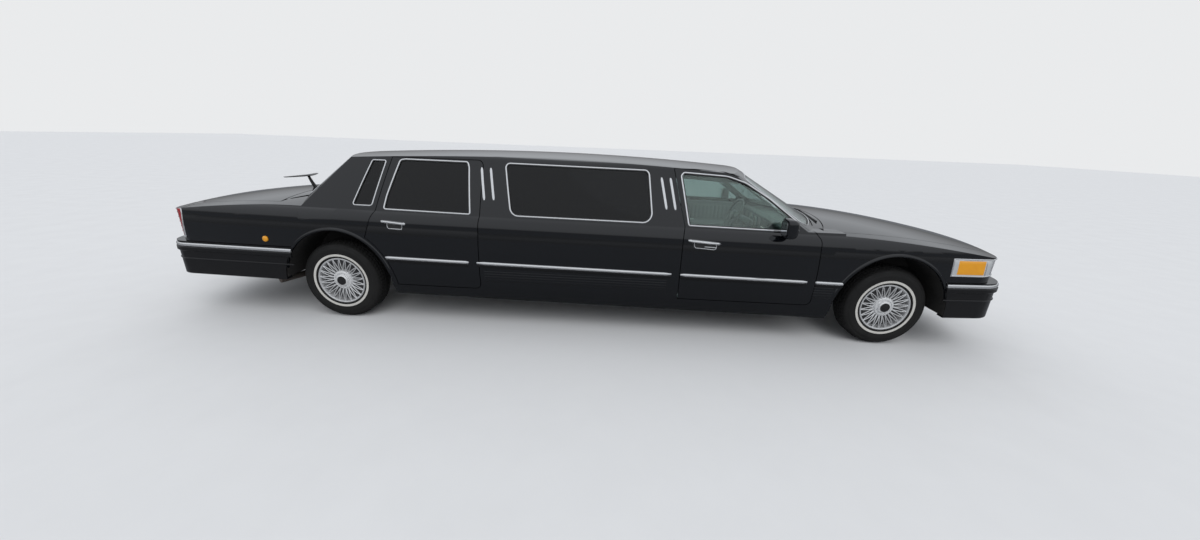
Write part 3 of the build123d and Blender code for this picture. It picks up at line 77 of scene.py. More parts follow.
# Body layout, the same values as in the part's source
FRONT_AXLE, REAR_AXLE = 2.567, -2.066
HALF_LENGTH = 3.607
HALF_WIDTH, BELT_HALF, RAIL_HALF = 0.974, 0.893, 0.711
SILL_Z, BELT_Z, RAIL_Z = 0.240, 0.950, 1.376
BODY_RAKE = math.radians(0.54)
TAPER_FRONT_START, FRONT_TAPER_RADIUS = FRONT_AXLE - 0.560, 16.0
TAPER_REAR_START, REAR_TAPER_RADIUS = REAR_AXLE + 1.290, 60.0
BUMPER_REACH = 0.080
PLAN_MARGIN = 0.001
AXLE_HEIGHT, TYRE_RADIUS = 0.341, 0.341
FRONT_TRACK_HALF, REAR_TRACK_HALF = 0.7975, 0.804
# Crowned tops: peak x, peak z, radius along the car, radius across it
HOOD_TOP = (FRONT_AXLE - 0.650, 0.978, 8.0, 9.0)
DECK_TOP = (REAR_AXLE - 0.350, 1.020, 7.5, 9.0)
ROOF_TOP = (REAR_AXLE + 1.620, 1.445, 26.0, 9.5)
# Bowed windows: base x, base z, top x, top z, radius across
WINDSCREEN = (FRONT_AXLE - 0.474, 0.975, FRONT_AXLE - 1.082, 1.328, 2.55)
BACKLIGHT = (REAR_AXLE - 0.545, 1.020, REAR_AXLE - 0.090, 1.378, 1.9)
TUNNEL_RADIUS, TUNNEL_WALL, TUNNEL_Z = 0.150, 0.018, 0.300
AMBER_BLOCK, TAIL_LENS_END = (3.015, 3.235), -3.350
TAIL_CAP_Z = 0.928
# Wheel openings: end, x of the middle, angle in degrees where the lip ends, and where the lining ends
ARCH_RADIUS, LINING_TOP = 0.455, 37
ARCHES = (("front", FRONT_AXLE - 0.025, 12, -3), ("rear", REAR_AXLE + 0.025, 14, 4))
# Ends in plan: start and radius of the taper, radius of the bow, radius of the corner
END_PLANS = {1: (TAPER_FRONT_START, FRONT_TAPER_RADIUS, 2.5, 0.240),
             -1: (TAPER_REAR_START, REAR_TAPER_RADIUS, 4.7, 0.180)}
SIDES = (("right", 1), ("left", -1))
MIRROR = np.array([1.0, -1.0, 1.0])
BACKWARD = np.array([-1.0, 0.0, 0.0])
STEP = 0.002
# Gaps within which a copy's corners are welded, and within which a panel or a pane takes a surface's normals
WELD, PANEL_GAP, GLASS_GAP = 2e-5, 0.0012, 0.011
SMOOTH_ANGLE, PANEL_ANGLE = math.radians(32), math.radians(28)


# Camera, fitted to the photograph: its place, its yaw, pitch and roll in degrees, and its focal length in pixels

CAMERA_PLACE, CAMERA_TURN = (0.272, -4.0607, 1.6064), (-1.78, 18.43, 2.22)
FOCAL_PIXELS, PHOTO_WIDTH, SENSOR_WIDTH = 398.54, 1200, 36.0


def place_camera():
    """Camera at the photograph's viewpoint: turned a little right, tipped down and rolled."""
    yaw, pitch, roll = (math.radians(a) for a in CAMERA_TURN)
    ahead = np.array([math.sin(yaw), math.cos(yaw), 0.0])
    right = np.array([math.cos(yaw), -math.sin(yaw), 0.0])
    up = np.array([0.0, 0.0, 1.0])
    look = math.cos(pitch) * ahead - math.sin(pitch) * up
    lift = math.sin(pitch) * ahead + math.cos(pitch) * up
    turned_right = math.cos(roll) * right + math.sin(roll) * lift
    turned_up = math.cos(roll) * lift - math.sin(roll) * right
    data = bpy.data.cameras.new("camera")
    data.sensor_width, data.lens = SENSOR_WIDTH, FOCAL_PIXELS / PHOTO_WIDTH * SENSOR_WIDTH
    data.clip_start, data.clip_end = 0.05, 200.0
    camera = bpy.data.objects.new("camera", data)
    bpy.context.scene.collection.objects.link(camera)
    matrix = np.eye(4)
    matrix[:3, 0], matrix[:3, 1], matrix[:3, 2] = turned_right, turned_up, -look
    matrix[:3, 3] = CAMERA_PLACE
    camera.matrix_world = Matrix(matrix.tolist())
    bpy.context.scene.camera = camera


# Body surfaces

def unit(vectors):
    """Vectors brought to length one."""
    return vectors / np.linalg.norm(vectors, axis=-1, keepdims=True)


def full_turn(steps):
    """Angles evenly round a full turn, in radians."""
    return np.linspace(0, 2 * math.pi, steps, endpoint=False)


def circle(steps):
    """Points evenly round a circle of radius one."""
    return np.stack([np.cos(full_turn(steps)), np.sin(full_turn(steps))], 1)


def unit_grid(rows, columns):
    """Two grids of shares from 0 to 1: one along the rows, one along the columns."""
    return np.meshgrid(np.linspace(0, 1, rows), np.linspace(0, 1, columns), indexing="ij")


def between(value, low, high, rise, fall):
    """1 between low and high and 0 outside, ramped over the rise and the fall."""
    return np.clip((value - low) / rise, 0, 1) * np.clip((high - value) / fall, 0, 1)


def rounded_edge(distance, radius):
    """Height of a quarter-round edge, from 0 at the border to 1 at the radius."""
    return np.sqrt(np.clip(1 - (1 - np.clip(distance / radius, 0, 1)) ** 2, 0, 1))


def arc_through(a, b, c):
    """Centre and radius of the circle through three points."""
    (ax, ay), (bx, by), (cx, cy) = a, b, c
    d = 2 * (ax * (by - cy) + bx * (cy - ay) + cx * (ay - by))
    a, b, c = ax**2 + ay**2, bx**2 + by**2, cx**2 + cy**2
    ux = (a * (by - cy) + b * (cy - ay) + c * (ay - by)) / d
    uy = (a * (cx - bx) + b * (ax - cx) + c * (bx - ax)) / d
    return ux, uy, math.hypot(ax - ux, ay - uy)


SECTION_ARCS = [
    ((HALF_WIDTH - 0.026, SILL_Z + 0.095), (HALF_WIDTH - 0.007, SILL_Z + 0.220), (HALF_WIDTH, 0.600)),
    ((HALF_WIDTH, 0.600), (HALF_WIDTH - 0.004, 0.730), (HALF_WIDTH - 0.020, 0.850)),
    ((HALF_WIDTH - 0.020, 0.850), (HALF_WIDTH - 0.042, 0.918), (BELT_HALF, BELT_Z)),
    ((BELT_HALF, BELT_Z), (BELT_HALF - 0.088, 1.172), (RAIL_HALF, RAIL_Z)),
    ((RAIL_HALF, RAIL_Z), (RAIL_HALF - 0.015, RAIL_Z + 0.021), (RAIL_HALF - 0.037, RAIL_Z + 0.036)),
]


def section_half(z):
    """Half width of the section at height z: arcs for side, shoulder, glass and rail, a slope at the sill."""
    z = np.asarray(z, float)
    half = HALF_WIDTH - 0.072 + (z - SILL_Z) * 0.046 / 0.095
    for points in SECTION_ARCS:
        cy, cz, radius = arc_through(*points)
        low, high = points[0][1], points[2][1]
        inside = (z >= low) & (z <= high + (1.0 if points is SECTION_ARCS[-1] else 0.0))
        reach = np.sqrt(np.maximum(radius**2 - (z - cz) ** 2, 0.0))
        half = np.where(inside, cy + reach, half)
    return half


def side_half(x, z):
    """Half width of the body at (x, z): the section, raked, and drawn in towards both ends on large arcs."""
    x, z = np.asarray(x, float), np.asarray(z, float)
    level_x = x * math.cos(BODY_RAKE) - z * math.sin(BODY_RAKE)
    level_z = x * math.sin(BODY_RAKE) + z * math.cos(BODY_RAKE)
    half = section_half(level_z)
    for way, (start, radius, _, _) in END_PLANS.items():
        run = np.maximum(way * (level_x - start), 0.0)
        hub = radius - HALF_WIDTH
        half = np.sqrt((hub + half) ** 2 - run**2) - hub
    return half


def side_frame(x, z):
    """Points on the right flank at (x, z) and the outward normals there, from small differences."""
    half = side_half(x, z)
    slope_x = (side_half(x + STEP, z) - side_half(x - STEP, z)) / (2 * STEP)
    slope_z = (side_half(x, z + STEP) - side_half(x, z - STEP)) / (2 * STEP)
    return np.stack([x, -half, z], -1), unit(np.stack([-slope_x, -np.ones_like(half), -slope_z], -1))


def top_height(top, x, y):
    """Height of a crowned top: an arc across the car, swung about a far-off axis along it."""
    x_peak, z_peak, along, across = top
    edge = z_peak - across + np.sqrt(across**2 - np.asarray(y, float) ** 2)
    axis_z = z_peak - along
    return axis_z + np.sqrt((edge - axis_z) ** 2 - (np.asarray(x, float) - x_peak) ** 2)


def top_frame(top, x, y):
    """Points on a crowned top at (x, y) and the upward normals there."""
    z = top_height(top, x, y)
    slope_x = (top_height(top, x + STEP, y) - top_height(top, x - STEP, y)) / (2 * STEP)
    slope_y = (top_height(top, x, y + STEP) - top_height(top, x, y - STEP)) / (2 * STEP)
    return np.stack([x, y, z], -1), unit(np.stack([-slope_x, -slope_y, np.ones_like(z)], -1))


def screen_axes(line):
    """A bowed window's slope, its outward direction and the middle of its centre line."""
    base_x, base_z, top_x, top_z, _ = line
    slope = unit(np.array([top_x - base_x, 0.0, top_z - base_z]))
    outward = np.array([abs(slope[2]) * (-1 if top_x > base_x else 1), 0.0, abs(slope[0])])
    return slope, outward, np.array([(base_x + top_x) / 2, 0.0, (base_z + top_z) / 2])


def screen_frame(line, along, y):
    """Points on a bowed window, along its slope from the middle and across it, and the outward normals."""
    slope, outward, middle = screen_axes(line)
    radius = line[-1]
    along, y = np.asarray(along, float)[..., None], np.asarray(y, float)[..., None]
    drop = np.sqrt(radius**2 - y**2) - radius
    sideways = y * np.array([0.0, 1.0, 0.0])
    return middle + along * slope + outward * drop + sideways, (outward * (drop + radius) + sideways) / radius


# Meshes

def smooth(mesh, angle=SMOOTH_ANGLE):
    """Shade a mesh smooth, and keep edges sharp where faces meet at more than the angle."""
    mesh.polygons.foreach_set("use_smooth", np.ones(len(mesh.polygons), bool))
    mesh.set_sharp_from_angle(angle=angle)


def field(elements, name, kind=float):
    """One field of three values of a mesh's elements, as an array."""
    values = np.empty(len(elements) * 3, kind)
    elements.foreach_get(name, values)
    return values.reshape(-1, 3)


def added(name, mesh, material, body, instead=None):
    """The mesh as a new piece that rides on a body, with its material, and may replace a CAD node."""
    mesh.materials.append(material)
    made = bpy.data.objects.new(name, mesh)
    bpy.context.scene.collection.objects.link(made)
    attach(made, body)
    if instead:
        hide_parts(instead)
    return made


def piece(name, shape, material, body="chassis", instead=None, closed=True):
    """A new piece from points and faces; a closed one has all its faces turned outwards."""
    points, faces = shape
    mesh = bpy.data.meshes.new(name)
    mesh.from_pydata(points.tolist(), [], faces.tolist() if isinstance(faces, np.ndarray) else faces)
    mesh.update()
    if closed:
        turned = bmesh.new()
        turned.from_mesh(mesh)
        bmesh.ops.recalc_face_normals(turned, faces=turned.faces)
        turned.to_mesh(mesh)
        turned.free()
    smooth(mesh)
    return added(name, mesh, material, body, instead)


def both(name, shape, material, body="chassis", instead=None, closed=True):
    """A right-hand shape and its mirror image as two pieces; the names of body and node may hold the side."""
    for side, sign in SIDES:
        sided = shape if sign > 0 else (shape[0] * MIRROR, [list(face)[::-1] for face in shape[1]])
        piece(f"{name}_{side}", sided, material, body.format(side), instead and instead.format(side), closed)


def grid_faces(rows, columns, close_rows=False, close_columns=False, start=0):
    """Quads over a grid of rows by columns, wrapped round where asked."""
    r = np.arange(rows if close_rows else rows - 1)
    c = np.arange(columns if close_columns else columns - 1)
    r, c = (a.ravel() for a in np.meshgrid(r, c, indexing="ij"))
    r2, c2 = (r + 1) % rows, (c + 1) % columns
    return np.stack([r * columns + c, r * columns + c2, r2 * columns + c2, r2 * columns + c], 1) + start


def tube_faces(rows, columns):
    """Faces of a tube of rows by columns, closed at both ends."""
    last = (rows - 1) * columns
    return grid_faces(rows, columns, False, True).tolist() + [
        list(range(columns)), list(range(last, last + columns))[::-1]]


def merged(parts):
    """One list of points and faces from several."""
    points, faces, start = [], [], 0
    for part_points, part_faces in parts:
        part_points = np.asarray(part_points, float).reshape(-1, 3)
        points.append(part_points)
        faces += [[int(i) + start for i in face] for face in part_faces]
        start += len(part_points)
    return np.concatenate(points), faces


def spun(radius, y):
    """Rows of radii spread round the Y axis, with one y place for each column."""
    turn = full_turn(len(radius))[:, None]
    return np.stack([radius * np.cos(turn), np.broadcast_to(y, radius.shape), radius * np.sin(turn)],
                    -1).reshape(-1, 3)


def lathe(profile, steps=96, close=False):
    """Profile of (radius, y) pairs turned about the Y axis."""
    radius, y = np.asarray(profile, float).T
    return spun(np.tile(radius, (steps, 1)), y), grid_faces(steps, len(y), True, close)


def carried(path, normals, profile, closed=False):
    """Profile of (across, out) pairs, one for all or one for each place, carried square to a path and its surface."""
    tangent = np.roll(path, -1, 0) - np.roll(path, 1, 0) if closed else np.gradient(path, axis=0)
    across = unit(np.cross(tangent, normals))
    points = path[:, None] + across[:, None] * profile[..., :1] + normals[:, None] * profile[..., 1:]
    rows, columns = points.shape[:2]
    return points.reshape(-1, 3), grid_faces(rows, columns, True, True) if closed else tube_faces(rows, columns)


def closed_sheet(first, second):
    """Two grids of points joined round their edges into one closed shape."""
    rows, columns = first.shape[:2]
    total = rows * columns
    faces = grid_faces(rows, columns).tolist() + grid_faces(rows, columns, start=total)[:, ::-1].tolist()
    around = np.concatenate([np.arange(columns), np.arange(1, rows) * columns + columns - 1,
                             (rows - 1) * columns + np.arange(columns - 2, -1, -1),
                             np.arange(rows - 2, 0, -1) * columns])
    following = np.roll(around, -1)
    faces += np.stack([around, following, following + total, around + total], 1).tolist()
    return np.concatenate([first.reshape(-1, 3), second.reshape(-1, 3)]), faces


def corner_arc(before, here, after, radius, pitch=None):
    """Arc that rounds off a corner, and the length that it takes off each side."""
    a, b = unit(before - here), unit(after - here)
    half = math.acos(np.clip(a @ b, -1, 1)) / 2
    cut = radius / math.tan(half)
    centre = here + unit(a + b) * radius / math.sin(half)
    start, end = here + a * cut - centre, here + b * cut - centre
    first = math.atan2(start[1], start[0])
    turn = (math.atan2(end[1], end[0]) - first + math.pi) % (2 * math.pi) - math.pi
    steps = max(int(abs(turn) * radius / pitch), 5) if pitch else 18
    angle = first + turn * np.linspace(0, 1, steps)
    return centre + radius * np.stack([np.cos(angle), np.sin(angle)], 1), cut


def rounded(points, radii, pitch=0.012):
    """Closed outline with rounded corners, as points spaced by about the pitch."""
    points = np.asarray(points, float)
    corners = np.concatenate([corner_arc(before, here, after, radius, pitch)[0] for before, here, after, radius
                              in zip(np.roll(points, 1, 0), points, np.roll(points, -1, 0), radii)])
    filled = []
    for start, end in zip(corners, np.roll(corners, -1, 0)):
        steps = max(int(np.linalg.norm(end - start) / (pitch * 4)), 1)
        filled.append(np.linspace(start, end, steps, endpoint=False))
    return np.concatenate(filled)


# Materials

def add_node(tree, kind, inputs=None, **settings):
    """New node with its settings; an input is set to a value, or linked where it is given a socket."""
    made = tree.nodes.new(kind)
    for key, value in settings.items():
        setattr(made, key, value)
    for key, value in (inputs or {}).items():
        if isinstance(value, bpy.types.NodeSocket):
            tree.links.new(value, made.inputs[key])
        else:
            made.inputs[key].default_value = value
    return made


def product(tree, first, second):
    """Socket with the product of two values."""
    return add_node(tree, "ShaderNodeMath", {0: first, 1: second}, operation="MULTIPLY").outputs[0]


def colour_mix(tree, share, first, second):
    """Socket with the first colour mixed towards the second."""
    return add_node(tree, "ShaderNodeMix", {"Factor": share, 6: first, 7: second}, data_type="RGBA").outputs[2]


def object_place(tree):
    """Socket with the place on the object."""
    return add_node(tree, "ShaderNodeTexCoord").outputs["Object"]


def new_group(name, inputs, outputs):
    """Empty node group, with the sockets of its entry and the inputs of its exit."""
    group = bpy.data.node_groups.new(name, "ShaderNodeTree")
    for socket, kind, default in inputs:
        group.interface.new_socket(socket, in_out="INPUT", socket_type=kind).default_value = default
    for socket, kind in outputs:
        group.interface.new_socket(socket, in_out="OUTPUT", socket_type=kind)
    return group, group.nodes.new("NodeGroupInput").outputs, group.nodes.new("NodeGroupOutput").inputs


def mottle_group():
    """Group "Mottle": a colour and a roughness that wander a little over the surface, with fine bump height."""
    group, entry, leave = new_group(
        "Mottle",
        [("Color", "NodeSocketColor", (0.5, 0.5, 0.5, 1)), ("Other", "NodeSocketColor", (0.4, 0.4, 0.4, 1)),
         ("Scale", "NodeSocketFloat", 8.0), ("Amount", "NodeSocketFloat", 0.3),
         ("Rough low", "NodeSocketFloat", 0.3), ("Rough high", "NodeSocketFloat", 0.5)],
        [("Color", "NodeSocketColor"), ("Roughness", "NodeSocketFloat"), ("Height", "NodeSocketFloat")])
    place = object_place(group)
    broad = add_node(group, "ShaderNodeTexNoise", {"Vector": place, "Scale": entry["Scale"], "Detail": 5.0})
    fine = add_node(group, "ShaderNodeTexNoise", {
        "Vector": place, "Scale": product(group, entry["Scale"], 14.0), "Detail": 3.0})
    share = product(group, broad.outputs["Fac"], entry["Amount"])
    rough = add_node(group, "ShaderNodeMapRange", {
        "Value": broad.outputs["Fac"], "From Min": 0.3, "From Max": 0.7, "To Min": entry["Rough low"],
        "To Max": entry["Rough high"]})
    group.links.new(colour_mix(group, share, entry["Color"], entry["Other"]), leave["Color"])
    group.links.new(rough.outputs["Result"], leave["Roughness"])
    group.links.new(fine.outputs["Fac"], leave["Height"])
    return group


def road_film_group():
    """Group "Road film": dust and spray near the ground that fades upwards, as a mask."""
    group, entry, leave = new_group(
        "Road film", [("Top", "NodeSocketFloat", 0.7), ("Amount", "NodeSocketFloat", 0.3)],
        [("Mask", "NodeSocketFloat")])
    place = object_place(group)
    height = add_node(group, "ShaderNodeSeparateXYZ", {0: place}).outputs["Z"]
    noise = add_node(group, "ShaderNodeTexNoise", {"Vector": place, "Scale": 9.0, "Detail": 8.0})
    fade = add_node(group, "ShaderNodeMapRange", {
        "Value": height, "From Min": 0.15, "From Max": entry["Top"], "To Min": 1.0, "To Max": 0.0})
    cloudy = product(group, fade.outputs["Result"], noise.outputs["Fac"])
    group.links.new(product(group, cloudy, entry["Amount"]), leave["Mask"])
    return group


MOTTLE = mottle_group()
ROAD_FILM = road_film_group()


def new_material(name, color, other, scale, amount, rough):
    """Material with its tree, its shader and a mottle node for the colour and roughness."""
    material = bpy.data.materials.new(name)
    material.use_nodes = True
    tree = material.node_tree
    mottle = add_node(tree, "ShaderNodeGroup", node_tree=MOTTLE, inputs={
        "Color": (*color, 1), "Other": (*other, 1), "Scale": scale, "Amount": amount,
        "Rough low": rough[0], "Rough high": rough[1]})
    return material, tree, tree.nodes["Principled BSDF"], mottle.outputs


def relief(tree, height, strength, distance):
    """Bump on a material's shader from a height."""
    bump = add_node(tree, "ShaderNodeBump", {"Strength": strength, "Distance": distance, "Height": height})
    tree.links.new(bump.outputs["Normal"], tree.nodes["Principled BSDF"].inputs["Normal"])


def shown_to(tree, rays, shader, other, output="Material Output"):
    """Send a shader to the output, and the other one where the rays named meet it."""
    path = add_node(tree, "ShaderNodeLightPath")
    mix = add_node(tree, "ShaderNodeMixShader", {
        "Fac": path.outputs[rays], 1: shader.outputs[0], 2: other.outputs[0]})
    tree.links.new(mix.outputs[0], tree.nodes[output].inputs["Surface"])


def finish(name, color, other, scale, amount, rough, bump=0.0, film=0.0, film_top=0.75, **sockets):
    """Material with a mottled colour and roughness, an optional grain, road film near the ground, plain sockets."""
    material, tree, shader, mottle = new_material(name, color, other, scale, amount, rough)
    base, roughness = mottle["Color"], mottle["Roughness"]
    if film:
        dust = add_node(tree, "ShaderNodeGroup", {"Top": film_top, "Amount": film}, node_tree=ROAD_FILM)
        base = colour_mix(tree, dust.outputs["Mask"], base, (0.10, 0.095, 0.085, 1))
        roughness = add_node(tree, "ShaderNodeMath", {0: roughness, 1: dust.outputs["Mask"]}, operation="ADD",
                             use_clamp=True).outputs[0]
    tree.links.new(base, shader.inputs["Base Color"])
    tree.links.new(roughness, shader.inputs["Roughness"])
    if bump:
        relief(tree, mottle["Height"], bump, 0.001)
    for socket, value in sockets.items():
        shader.inputs[socket.replace("_", " ")].default_value = value
    return material


def glass_finish(name, tint):
    """Tinted glass that lets light into the cabin: refracting to the eye, plain tint to shadow rays."""
    darker = [value * 0.9 for value in tint]
    material, tree, shader, mottle = new_material(name, tint, darker, 3.0, 0.3, (0.0, 0.02))
    shader.inputs["Metallic"].default_value = 0.0
    shader.inputs["Transmission Weight"].default_value = 1.0
    shader.inputs["IOR"].default_value = 1.45
    tree.links.new(mottle["Color"], shader.inputs["Base Color"])
    tree.links.new(mottle["Roughness"], shader.inputs["Roughness"])
    light = add_node(tree, "ShaderNodeBsdfTransparent", {"Color": (*(math.sqrt(value) for value in tint), 1)})
    shown_to(tree, "Is Shadow Ray", shader, light)
    return material


PAINT = finish("black_paint", (0.0022, 0.0028, 0.0040), (0.0040, 0.0046, 0.0060), 1.5, 0.6, (0.05, 0.09), film=0.04,
               film_top=0.50, Coat_Weight=1.0, Coat_Roughness=0.02, Coat_IOR=1.62, Specular_IOR_Level=0.0)
BUMPER = finish("black_bumper", (0.006, 0.006, 0.007), (0.011, 0.011, 0.011), 5.0, 0.6, (0.10, 0.17), film=0.05,
                film_top=0.45, Specular_IOR_Level=0.35)
SATIN = finish("satin_black", (0.012, 0.012, 0.013), (0.022, 0.022, 0.022), 7.0, 0.6, (0.28, 0.42), bump=0.06)
CHROME = finish("chrome", (0.84, 0.85, 0.86), (0.72, 0.72, 0.73), 6.0, 0.5, (0.06, 0.14), Metallic=0.85)
BRUSHED = finish("wheel_metal", (0.78, 0.79, 0.80), (0.60, 0.60, 0.60), 11.0, 0.7, (0.26, 0.40), film=0.08,
                 film_top=0.8, Metallic=0.55)
POLISHED = finish("hub_metal", (0.86, 0.87, 0.88), (0.72, 0.72, 0.72), 11.0, 0.6, (0.18, 0.30), film=0.05,
                  film_top=0.8, Metallic=0.40)
# Dark grey metal for the disc behind the wheel's lace: painted shade that stands in for the shadow inside the wheel
PAINTED_SHADE_METAL = finish("wheel_shadow", (0.16, 0.16, 0.165), (0.08, 0.08, 0.08), 14.0, 0.7, (0.35, 0.55), Metallic=0.8)
STEEL = finish("dull_steel", (0.30, 0.28, 0.26), (0.16, 0.11, 0.08), 9.0, 0.9, (0.40, 0.65), bump=0.25, Metallic=0.8)
UNDERBODY = finish("underbody", (0.010, 0.010, 0.010), (0.024, 0.022, 0.020), 5.0, 0.8, (0.65, 0.9), bump=0.5,
                   film=0.2, film_top=0.9)
ENGINE = finish("cast_metal", (0.10, 0.10, 0.10), (0.045, 0.042, 0.04), 9.0, 0.8, (0.45, 0.7), bump=0.5,
                Metallic=0.4)
RUBBER = finish("tyre_rubber", (0.007, 0.007, 0.007), (0.016, 0.0155, 0.015), 12.0, 0.7, (0.50, 0.75), bump=0.25,
                film=0.08, film_top=0.5, Specular_IOR_Level=0.35)
WHITE_RUBBER = finish("white_rubber", (0.62, 0.61, 0.58), (0.46, 0.44, 0.40), 14.0, 0.7, (0.5, 0.65), bump=0.15)
TRIM_RUBBER = finish("black_rubber", (0.010, 0.010, 0.010), (0.020, 0.020, 0.020), 12.0, 0.6, (0.45, 0.6), bump=0.1)
LEATHER = finish("black_leather", (0.018, 0.018, 0.019), (0.036, 0.035, 0.034), 26.0, 0.6, (0.35, 0.55), bump=0.55)
CARPET = finish("carpet", (0.030, 0.030, 0.034), (0.060, 0.058, 0.058), 60.0, 0.8, (0.9, 1.0), bump=1.0)
PLASTIC = finish("grained_plastic", (0.030, 0.031, 0.033), (0.045, 0.045, 0.047), 45.0, 0.5, (0.45, 0.6), bump=0.3)
CLOTH = finish("headliner_cloth", (0.20, 0.20, 0.20), (0.26, 0.255, 0.25), 70.0, 0.6, (0.85, 0.95), bump=0.4)
PANEL_TRIM = finish("door_trim", (0.060, 0.060, 0.064), (0.085, 0.085, 0.088), 32.0, 0.6, (0.5, 0.65), bump=0.35)
AMBER = finish("amber_lens", (0.80, 0.36, 0.012), (0.62, 0.22, 0.004), 20.0, 0.6, (0.08, 0.15), Coat_Weight=1.0)
RED_LENS = finish("red_lens", (0.36, 0.008, 0.010), (0.20, 0.002, 0.004), 18.0, 0.6, (0.08, 0.16), Coat_Weight=1.0)
MIRROR_GLASS = finish("mirror_glass", (0.70, 0.72, 0.74), (0.66, 0.68, 0.70), 2.0, 0.4, (0.01, 0.03), Metallic=1.0)
DIAL = finish("dial_face", (0.010, 0.010, 0.012), (0.014, 0.014, 0.016), 20.0, 0.5, (0.3, 0.4))
MARKS = finish("dial_marks", (0.75, 0.75, 0.70), (0.6, 0.6, 0.56), 20.0, 0.5, (0.4, 0.5))
WOOD = finish("walnut_trim", (0.10, 0.038, 0.016), (0.045, 0.016, 0.008), 16.0, 1.0, (0.12, 0.22), Coat_Weight=1.0)
CLEAR_GLASS = glass_finish("green_tint_glass", (0.72, 0.90, 0.84))
DARK_GLASS = glass_finish("dark_tint_glass", (0.030, 0.034, 0.036))


def fluted_finish(name):
    """Bright reflector behind a clear lens: metal with upright flutes as a wave along Y."""
    material = finish(name, (0.84, 0.86, 0.87), (0.62, 0.64, 0.65), 22.0, 0.6, (0.10, 0.20), Metallic=0.55,
                      Coat_Weight=1.0)
    tree = material.node_tree
    flutes = add_node(tree, "ShaderNodeTexWave", {"Vector": object_place(tree), "Scale": 18.0}, bands_direction="Y")
    relief(tree, flutes.outputs["Fac"], 0.6, 0.003)
    return material


FLUTED = fluted_finish("headlamp_lens")


# Stage

def floor_material():
    """Pale floor that stays pale to the camera, and mid grey to reflections, with a faint grain."""
    material = finish("pale_floor", (0.70, 0.705, 0.71), (0.62, 0.625, 0.63), 3.0, 0.5, (0.55, 0.75), bump=0.1)
    tree = material.node_tree
    grey = add_node(tree, "ShaderNodeBsdfDiffuse", {"Color": (0.18, 0.185, 0.195, 1)})
    shown_to(tree, "Is Glossy Ray", tree.nodes["Principled BSDF"], grey)
    return material


def sky():
    """Sky that brightens upwards, seen only in reflections and as light; the camera sees plain pale grey."""
    world = bpy.data.worlds.new("sky")
    bpy.context.scene.world = world
    world.use_nodes = True
    tree = world.node_tree
    background = tree.nodes["Background"]
    background.inputs["Strength"].default_value = 0.75
    pale = add_node(tree, "ShaderNodeBackground", {"Color": (0.82, 0.83, 0.84, 1), "Strength": 1.0})
    place = add_node(tree, "ShaderNodeTexCoord").outputs["Generated"]
    height = add_node(tree, "ShaderNodeSeparateXYZ", {0: place}).outputs["Z"]
    rise = add_node(tree, "ShaderNodeValToRGB", {"Fac": height})
    first, last = rise.color_ramp.elements
    first.position, first.color = 0.0, (0.26, 0.265, 0.27, 1)
    last.position, last.color = 0.60, (0.90, 0.93, 0.98, 1)
    for position, color in ((0.06, (0.45, 0.46, 0.48, 1)), (0.16, (0.80, 0.83, 0.87, 1))):
        rise.color_ramp.elements.new(position).color = color
    tree.links.new(rise.outputs["Color"], background.inputs["Color"])
    shown_to(tree, "Is Camera Ray", background, pale, "World Output")


def stage():
    """Pale floor, soft overhead light and the sky."""
    bpy.context.scene.view_settings.view_transform = "Standard"
    sky()
    mesh = bpy.data.meshes.new("floor")
    mesh.from_pydata([(-60, -40, 0), (60, -40, 0), (60, 60, 0), (-60, 60, 0)], [], [(0, 1, 2, 3)])
    mesh.materials.append(floor_material())
    floor = bpy.data.objects.new("floor", mesh)
    bpy.context.scene.collection.objects.link(floor)
    for name, azimuth, height, strength, spread in (("key", -62, 48, 1.15, 50), ("fill", 118, 52, 0.55, 70)):
        light = bpy.data.lights.new(name, "SUN")
        light.energy, light.angle = strength, math.radians(spread)
        lamp = bpy.data.objects.new(name, light)
        lamp.rotation_euler = (math.radians(90 - height), 0.0, math.radians(azimuth + 90))
        lamp.visible_glossy = False
        bpy.context.scene.collection.objects.link(lamp)


# Painted panels and glass, with their normals taken from the body's surfaces

def surface_candidates(points):
    """For each point, its gaps to the body's surfaces and their outward normals: flank, crowned tops, windows."""
    x, y, z = points.T
    flank, normals = side_frame(x, z)
    normals[:, 1] *= np.where(y < 0, 1.0, -1.0)
    found = [(np.abs(np.abs(y) + flank[:, 1]), normals)]
    for top in (HOOD_TOP, DECK_TOP, ROOF_TOP):
        surface, normals = top_frame(top, x, y)
        found.append((np.abs(surface[:, 2] - z), normals))
    for line in (WINDSCREEN, BACKLIGHT):
        slope, outward, middle = screen_axes(line)
        radius = line[-1]
        arm = points - (middle - outward * radius)
        arm = arm - (arm @ slope)[:, None] * slope
        reach = np.linalg.norm(arm, axis=1)
        found.append((np.abs(reach - radius), arm / reach[:, None]))
    return found


